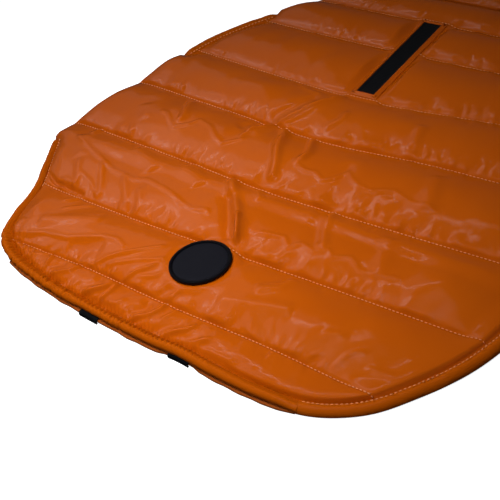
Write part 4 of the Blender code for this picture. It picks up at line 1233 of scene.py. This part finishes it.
class COAT_OT_flaps(bpy.types.Operator):
    """Makes the belly flaps folded underneath"""
    bl_idname = "coat.flaps"
    bl_label = "Belly flaps"

    def execute(self, context):
        colours = context.scene.coat_colours
        cloth = coated_nylon("Nylon flap lining", colours.shell, colours.shell_deep,
                             roughness=0.36)
        for name, column, sign, node in (("left_flap", 1, 1, "belly_flap_left"),
                                         ("right_flap", 2, -1, "belly_flap_right")):
            edge = side_curve(column, FOLD_START_Y + 1.5, FOLD_END_Y - 1.5, 1.0)
            shares = np.linspace(0.0, 1.0, 60)
            places = shares * (len(edge) - 1)
            edge_x, edge_y = (np.interp(places, np.arange(len(edge)), edge[:, i]) for i in (0, 1))
            inner_y = between(*FLAP_INNER_Y, shares)
            rows = [np.column_stack((between(edge_x, -sign * (LAP_HALF + 1.5), t),
                                     between(edge_y, inner_y, t ** 1.4)))
                    for t in np.linspace(0.0, 1.0, 90)]
            rows += [np.column_stack((np.full_like(inner_y, sign * x), inner_y))
                     for x in np.linspace(-LAP_HALF - 0.3, LAP_HALF, 24)]
            rows = np.array(rows)
            low, high = cloth_slab(rows, UNDER_LAYER, 71 + column)
            lap = sign * rows[..., 0] > -LAP_HALF - 1.0
            if sign > 0:
                low = np.where(lap, UNDER_LAYER - LAP_LAYER, 0.0)
            else:
                high = np.where(lap, np.minimum(high, LAP_LAYER), high)
            high = np.maximum(high, low + 0.5)
            piece = add_mesh(name, *slab_mesh(rows, low, high), cloth, "edge_nylon", node)
        return {"FINISHED"}


class COAT_OT_front(bpy.types.Operator):
    """Makes the chest panel and the collar"""
    bl_idname = "coat.front"
    bl_label = "Chest and collar"

    def execute(self, context):
        colours = context.scene.coat_colours
        cloth = coated_nylon("Nylon chest lining", colours.shell, colours.shell_deep,
                             roughness=0.36)
        shell = bpy.data.materials[SHELL_CLOTH]
        left = side_curve(1, CHEST_START_Y + 1.0, NECK_Y - 0.3, 1.4)
        right = side_curve(2, CHEST_START_Y + 1.0, NECK_Y - 0.3, 1.4)
        shares = np.linspace(0.0, 1.0, 160)
        rows = np.array([np.column_stack((between(a[0], b[0], shares),
                                          np.full_like(shares, a[1])))
                         for a, b in zip(left, right)])
        low, high = cloth_slab(rows, UNDER_LAYER, 81)
        piece = add_mesh("chest", *slab_mesh(rows, low, high), cloth, "edge_nylon", "chest_panel")
        steps = np.linspace(0.0, 1.0, 50)
        shares = np.linspace(0.0, 1.0, 170)
        rows = []
        for t in steps:
            half = between(*COLLAR_HALF, t)
            y = between(NECK_Y + 0.3, COLLAR_END_Y, t)
            rows.append(np.column_stack((between(-half, half + 1.0, shares),
                                         np.full_like(shares, y))))
        rows = np.array(rows)
        low, high = cloth_slab(rows, UNDER_LAYER, 83)
        piece = add_mesh("under_collar", *slab_mesh(rows, low, high), cloth, "edge_nylon",
                         "collar_under")
        t, s = np.meshgrid(steps, shares, indexing="ij")
        roll = rounded(np.clip(np.minimum(s, 1.0 - s) / 0.09, 0.0, 1.0))
        ring = 1.0 - np.abs(2.0 * t - 1.0) ** PUFF_POWER
        tip = between(EDGE_THICKNESS, 2.0, smooth_step((t - 0.86) / 0.14))
        x, y = rows[..., 0], rows[..., 1]
        d = y - NECK_Y
        wave = 0.45 * ripple(x, y, 16.0, 85, 30.0) * ring
        wave = wave + QUILT.puckers(x.ravel(), d.ravel()).reshape(x.shape)
        high = UPPER_BASE + between(FOLD_EDGE_THICKNESS, tip + 5.3 * ring + wave, roll)
        low = np.full_like(high, UPPER_BASE)
        piece = add_mesh("upper_collar", *slab_mesh(rows, low, high), shell, "shell_nylon",
                         "collar_upper")
        return {"FINISHED"}


class COAT_OT_badge(bpy.types.Operator):
    """Makes the moulded badge"""
    bl_idname = "coat.badge"
    bl_label = "Badge"

    def execute(self, context):
        colour = context.scene.coat_colours.badge
        rubber = moulded_rubber("Moulded silicone rubber", colour, 0.55)
        rim_colour = (*(0.3 * part for part in colour[:3]), 1.0)
        rim_rubber = moulded_rubber("Moulded silicone rim", rim_colour, 0.5)
        base = BADGE_SEAT + 0.1
        top = BADGE_SEAT + 0.3 + BADGE_HEIGHT
        r = BADGE_RADIUS
        profile = [(0.0, base), (r - 1.2, base), (r - 0.3, base + 0.25), (r, base + 0.9),
                   (r, top - 0.8), (r - 0.15, top - 0.3), (r - 0.6, top - 0.02), (r - 1.2, top),
                   (r - 2.0, top - 0.06), (r - 2.5, top - 0.35), (r - 2.75, top - 0.95),
                   (r - 3.2, top - 1.0), (r - 3.5, top - 0.75), (r - 4.1, top - 0.62),
                   (r - 8.0, top - 0.6), (0.0, top - 0.6)]
        sides = 128
        inner = profile[1:-1]
        points, faces = [], []
        for i in range(sides):
            angle = 2 * math.pi * i / sides
            along, across = math.cos(angle), math.sin(angle)
            points += [(BADGE_X + radius * along, BADGE_Y + radius * across,
                        z + BADGE_SLOPE * radius * across) for radius, z in inner]
        size = len(inner)
        for i in range(sides):
            a, b = i * size, ((i + 1) % sides) * size
            faces += [(a + k, b + k, b + k + 1, a + k + 1) for k in range(size - 1)]
        under, over = len(points), len(points) + 1
        points += [(BADGE_X, BADGE_Y, z) for _, z in (profile[0], profile[-1])]
        for i in range(sides):
            a, b = i * size, ((i + 1) % sides) * size
            faces.append((under, b, a))
            faces.append((over, a + size - 1, b + size - 1))
        piece = add_mesh("rubber_badge", points, faces, rubber, "badge_rubber", "badge")
        piece.data.materials.append(rim_rubber)
        middle = to_frame([(BADGE_X, BADGE_Y, 0.0)])[0]
        for polygon in piece.data.polygons:
            away = math.hypot(polygon.center.x - middle[0], polygon.center.y - middle[1])
            polygon.material_index = int(away > (r - 3.3) * MM)
        return {"FINISHED"}


class COAT_OT_opening(bpy.types.Operator):
    """Makes the welt and the tape of the lead opening"""
    bl_idname = "coat.opening"
    bl_label = "Lead opening"

    def execute(self, context):
        shell = bpy.data.materials[SHELL_CLOTH]
        tape = woven_tape("Polyester lead tape", context.scene.coat_colours.tape)
        low, high = WINDOW_START_Y - WELT_WIDTH, WINDOW_END_Y + WELT_WIDTH
        left, right = WINDOW_X - WINDOW_HALF, WINDOW_X + WINDOW_HALF
        corners = np.array([(left, low), (right, low), (right, high), (left, high)])
        mitres = np.array([(1, 1), (-1, 1), (-1, -1), (1, -1)], float)
        shape = np.array([(0.0, -0.6), (0.0, 0.3), (0.5, 0.6), (1.5, 0.75), (2.4, 1.1), (3.0, 1.7),
                          (3.6, 1.95), (4.2, 1.75), (4.6, 1.2), (4.6, -0.6)])
        path, side = [], []
        step = 1.5
        for i in range(4):
            j = (i + 1) % 4
            count = int(np.linalg.norm(corners[j] - corners[i]) / step)
            for t in np.linspace(0.0, 1.0, count, endpoint=False):
                path.append(between(corners[i], corners[j], t))
                side.append(mitres[i] if t == 0 else between(mitres[i], mitres[j], 0.5))
        sections = []
        for i in range(len(path)):
            wave = 0.12 * ripple(i * step + shape[:, 0], shape[:, 1], 4.0, 91) * (shape[:, 1] > 0)
            sections.append(np.column_stack((shape[:, 0], OPENING_BASE + shape[:, 1] + wave)))
        piece = add_mesh("opening_welt", *swept(path, side, sections, closed=True), shell,
                         "shell_nylon", "lead_opening_welt")
        inner = WINDOW_WIDTH / 2 + 0.4
        xs = np.linspace(WINDOW_X - inner, WINDOW_X + inner, 25)
        rows = np.array([np.column_stack((xs, np.full_like(xs, y)))
                         for y in np.arange(WINDOW_START_Y - 0.4, WINDOW_END_Y + 0.5, 0.5)])
        rib = 0.07 * np.cos(2 * math.pi * rows[..., 1] / TAPE_RIB_PITCH)
        border = 0.25 * (np.abs(rows[..., 0] - WINDOW_X) > WINDOW_WIDTH / 2 - 2.5)
        top = OPENING_BASE + 0.75 + rib + border
        under = np.full_like(top, OPENING_BASE - 0.5)
        piece = add_mesh("opening_tape", *slab_mesh(rows, under, top), tape, "black_tape",
                         "lead_opening_tape")
        return {"FINISHED"}


class COAT_OT_stitches(bpy.types.Operator):
    """Sews the quilting and the bindings"""
    bl_idname = "coat.stitches"
    bl_label = "Stitches"

    def execute(self, context):
        thread = sewing_thread("Bonded polyester thread", context.scene.coat_colours.thread)
        size = context.scene.coat_sizes
        pitch, length, radius = (v / MM for v in (size.stitch_pitch, size.stitch_length,
                                                  size.thread_radius))
        lines = []
        for k in range(len(SEAMS)):
            x = np.arange(-LINE_START, 250.0, 1.0)
            y = seam_line(k, x)
            inside = inside_loop(QUILT.edge, x, y)
            keep = inside & (QUILT.near_edge(x, y)[0] > 1.0)
            window = np.abs(x - WINDOW_X) < WINDOW_HALF + 0.5
            window &= (y > WINDOW_START_Y - WELT_WIDTH) & (y < WINDOW_END_Y + WELT_WIDTH)
            lift = np.where((k == 0) & (x < SUNK_STITCHES_X), SUNK_LIFT, QUILT_LIFT)
            run = np.column_stack((x, y, QUILT.top(x, y) + lift))
            lines += [run[part] for part in stretches(keep & ~window)]
        add_stitches("quilting_stitches", lines, thread, pitch, length, radius)
        path, side = tail_path(lambda x, y: y < STITCHES_TOP_Y, lambda x, y: y < 100.0, 1.0)
        line = path + side * LEFT_STITCH_INSET
        lines = [np.column_stack((line, QUILT.top(line[:, 0], line[:, 1]) + 0.3))]
        path, side = tail_path(lambda x, y: x > PINCH_X + 2,
                               lambda x, y: x > 200 and y > STITCHES_TOP_Y, 1.0)
        line = path + side * BINDING_STITCH_INSET
        height = STITCH_SHARE * BINDING_HEIGHT + 0.2
        lines.append(np.column_stack((line, np.full(len(line), height))))
        for column in (1, 2):
            path = side_curve(column, FOLD_END_Y + 8.0, CHEST_START_Y - 8.0, 1.0)
            line = path + inward(path) * (-1 if column == 1 else 1) * BINDING_STITCH_INSET
            lines.append(np.column_stack((line, np.full(len(line), UPPER_BASE + height))))
        add_stitches("binding_stitches", lines, thread, pitch, length,
                     radius * HEAVY_THREAD)
        return {"FINISHED"}


def around(azimuth, elevation):
    """Place of a lamp at an angle round the coat's middle, in degrees."""
    a, e = math.radians(azimuth), math.radians(elevation)
    away = (math.cos(a) * math.cos(e), math.sin(a) * math.cos(e), math.sin(e))
    return tuple(m + LAMP_DISTANCE * part for m, part in zip(MIDDLE, away))


def in_frame(point):
    """One point in mm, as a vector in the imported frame."""
    return Vector(to_frame([point])[0])


def standing(right, up, back, place):
    """World matrix of a lamp or camera from its three axes and its place."""
    return Matrix(((right.x, up.x, back.x, place.x), (right.y, up.y, back.y, place.y),
                   (right.z, up.z, back.z, place.z), (0, 0, 0, 1)))


def area_light(name, width, height, power):
    """A rectangular light, its size in metres."""
    lamp = bpy.data.lights.new(name, "AREA")
    lamp.shape = "RECTANGLE"
    lamp.size, lamp.size_y = width, height
    lamp.energy = power
    return add_object(name, lamp)


def soft_light(name, spot, aim, size, power, spread):
    """A softbox that looks at a point, all in mm, with its beam's spread in degrees."""
    made = area_light(name, size[0] * MM, size[1] * MM, power)
    made.data.spread = math.radians(spread)
    made.location = in_frame(spot)
    away = in_frame(aim) - made.location
    made.rotation_euler = away.to_track_quat("-Z", "Y").to_euler()
    return made


def strip_light(name, low, high, width, power):
    """A narrow light from one point to another that faces the coat's middle."""
    low, high = in_frame(low), in_frame(high)
    middle = (low + high) / 2
    along = (high - low).normalized()
    back = middle - in_frame(MIDDLE)
    back = (back - along * back.dot(along)).normalized()
    made = area_light(name, width * MM, (high - low).length, power)
    made.matrix_world = standing(along.cross(back), along, back, middle)


class COAT_OT_stage(bpy.types.Operator):
    """Sets the floor, the light and the camera"""
    bl_idname = "coat.stage"
    bl_label = "Stage"

    def execute(self, context):
        scene = context.scene
        scene.view_settings.view_transform = "Standard"
        material, tree = new_material("Pale floor")
        shader = add_node(tree, "ShaderNodeBsdfPrincipled", {
            "Base Color": linear("#F4F4F4"), "Roughness": 0.9,
            "Emission Color": (1, 1, 1, 1), "Emission Strength": 0.9})
        add_node(tree, "ShaderNodeOutputMaterial", {"Surface": shader.outputs["BSDF"]})
        mesh = bpy.data.meshes.new("floor")
        corners = [(x * FLOOR_REACH, y * FLOOR_REACH, FLOOR_LEVEL)
                   for x, y in ((-1, -1), (1, -1), (1, 1), (-1, 1))]
        mesh.from_pydata(corners, [], [(0, 1, 2, 3)])
        mesh.materials.append(material)
        floor = add_object("floor", mesh)
        floor.visible_glossy = False
        floor.visible_diffuse = False
        world = bpy.data.worlds.new("Studio")
        scene.world = world
        world.use_nodes = True
        sky = world.node_tree.nodes["Background"].inputs
        sky["Color"].default_value = (1, 1, 1, 1)
        sky["Strength"].default_value = 0.04
        soft_light("Left softbox", (-680, 130, 740), MIDDLE, (640, 560), power=0.14, spread=100)
        fills = (soft_light("Overhead fill", (-28, 48, 600), (-24, 52, 0), (420, 340),
                            power=1.145, spread=82),
                 soft_light("Front fill", around(290, 30), (-120, 10, 0), (400, 300),
                            power=0.24, spread=50))
        for lamp in fills:      # they light the cloth and don't mirror in its film
            lamp.visible_glossy = False
        strip_light("Sweep glow", around(184, 24), around(134, 38), width=850, power=0.44)
        strip_light("Sweep edge", around(180, 41), around(124, 58), width=24, power=0.25)
        lens = bpy.data.cameras.new("Camera")
        lens.sensor_width = SENSOR
        lens.lens = CAMERA_LENS
        lens.clip_start, lens.clip_end = 0.05, 20.0
        camera = add_object("Camera", lens)
        azimuth, elevation = math.radians(CAMERA_AZIMUTH), math.radians(CAMERA_ELEVATION)
        roll = math.radians(CAMERA_ROLL)
        back = Vector((math.sin(azimuth) * math.cos(elevation),
                       -math.cos(azimuth) * math.cos(elevation), math.sin(elevation)))
        right = Vector((0, 0, 1)).cross(back).normalized()
        up = back.cross(right)
        place = in_frame((*CAMERA_TARGET, 0.0)) + back * CAMERA_DISTANCE * MM
        camera.matrix_world = standing(right * math.cos(roll) + up * math.sin(roll),
                                       up * math.cos(roll) - right * math.sin(roll), back, place)
        scene.camera = camera
        return {"FINISHED"}


class COAT_PT_parts(bpy.types.Panel):
    """Lists the coat's sizes, colours and pieces"""
    bl_label = "Dog coat"
    bl_space_type = "VIEW_3D"
    bl_region_type = "UI"
    bl_category = "Dog coat"

    def draw(self, context):
        column = self.layout.column()
        for group in (context.scene.coat_sizes, context.scene.coat_colours):
            for name in group.bl_rna.properties.keys():
                if name not in ("rna_type", "name"):
                    column.prop(group, name)
        for operator in OPERATORS:
            column.operator(operator.bl_idname)


OPERATORS = (COAT_OT_back, COAT_OT_edges, COAT_OT_tabs, COAT_OT_flaps, COAT_OT_front,
             COAT_OT_badge, COAT_OT_opening, COAT_OT_stitches, COAT_OT_stage)
CLASSES = (CoatSizes, CoatColours, *OPERATORS, COAT_PT_parts)


def register():
    """Adds the coat's settings, operators and panel to Blender."""
    for item in CLASSES:
        bpy.utils.register_class(item)
    bpy.types.Scene.coat_sizes = PointerProperty(type=CoatSizes)
    bpy.types.Scene.coat_colours = PointerProperty(type=CoatColours)


def unregister():
    """Takes them out again."""
    del bpy.types.Scene.coat_sizes
    del bpy.types.Scene.coat_colours
    for item in reversed(CLASSES):
        bpy.utils.unregister_class(item)


def main():
    """Builds every piece and the stage."""
    register()
    bpy.ops.coat.back()
    bpy.ops.coat.edges()
    bpy.ops.coat.tabs()
    bpy.ops.coat.flaps()
    bpy.ops.coat.front()
    bpy.ops.coat.badge()
    bpy.ops.coat.opening()
    bpy.ops.coat.stitches()
    bpy.ops.coat.stage()


if __name__ == "__main__":
    main()
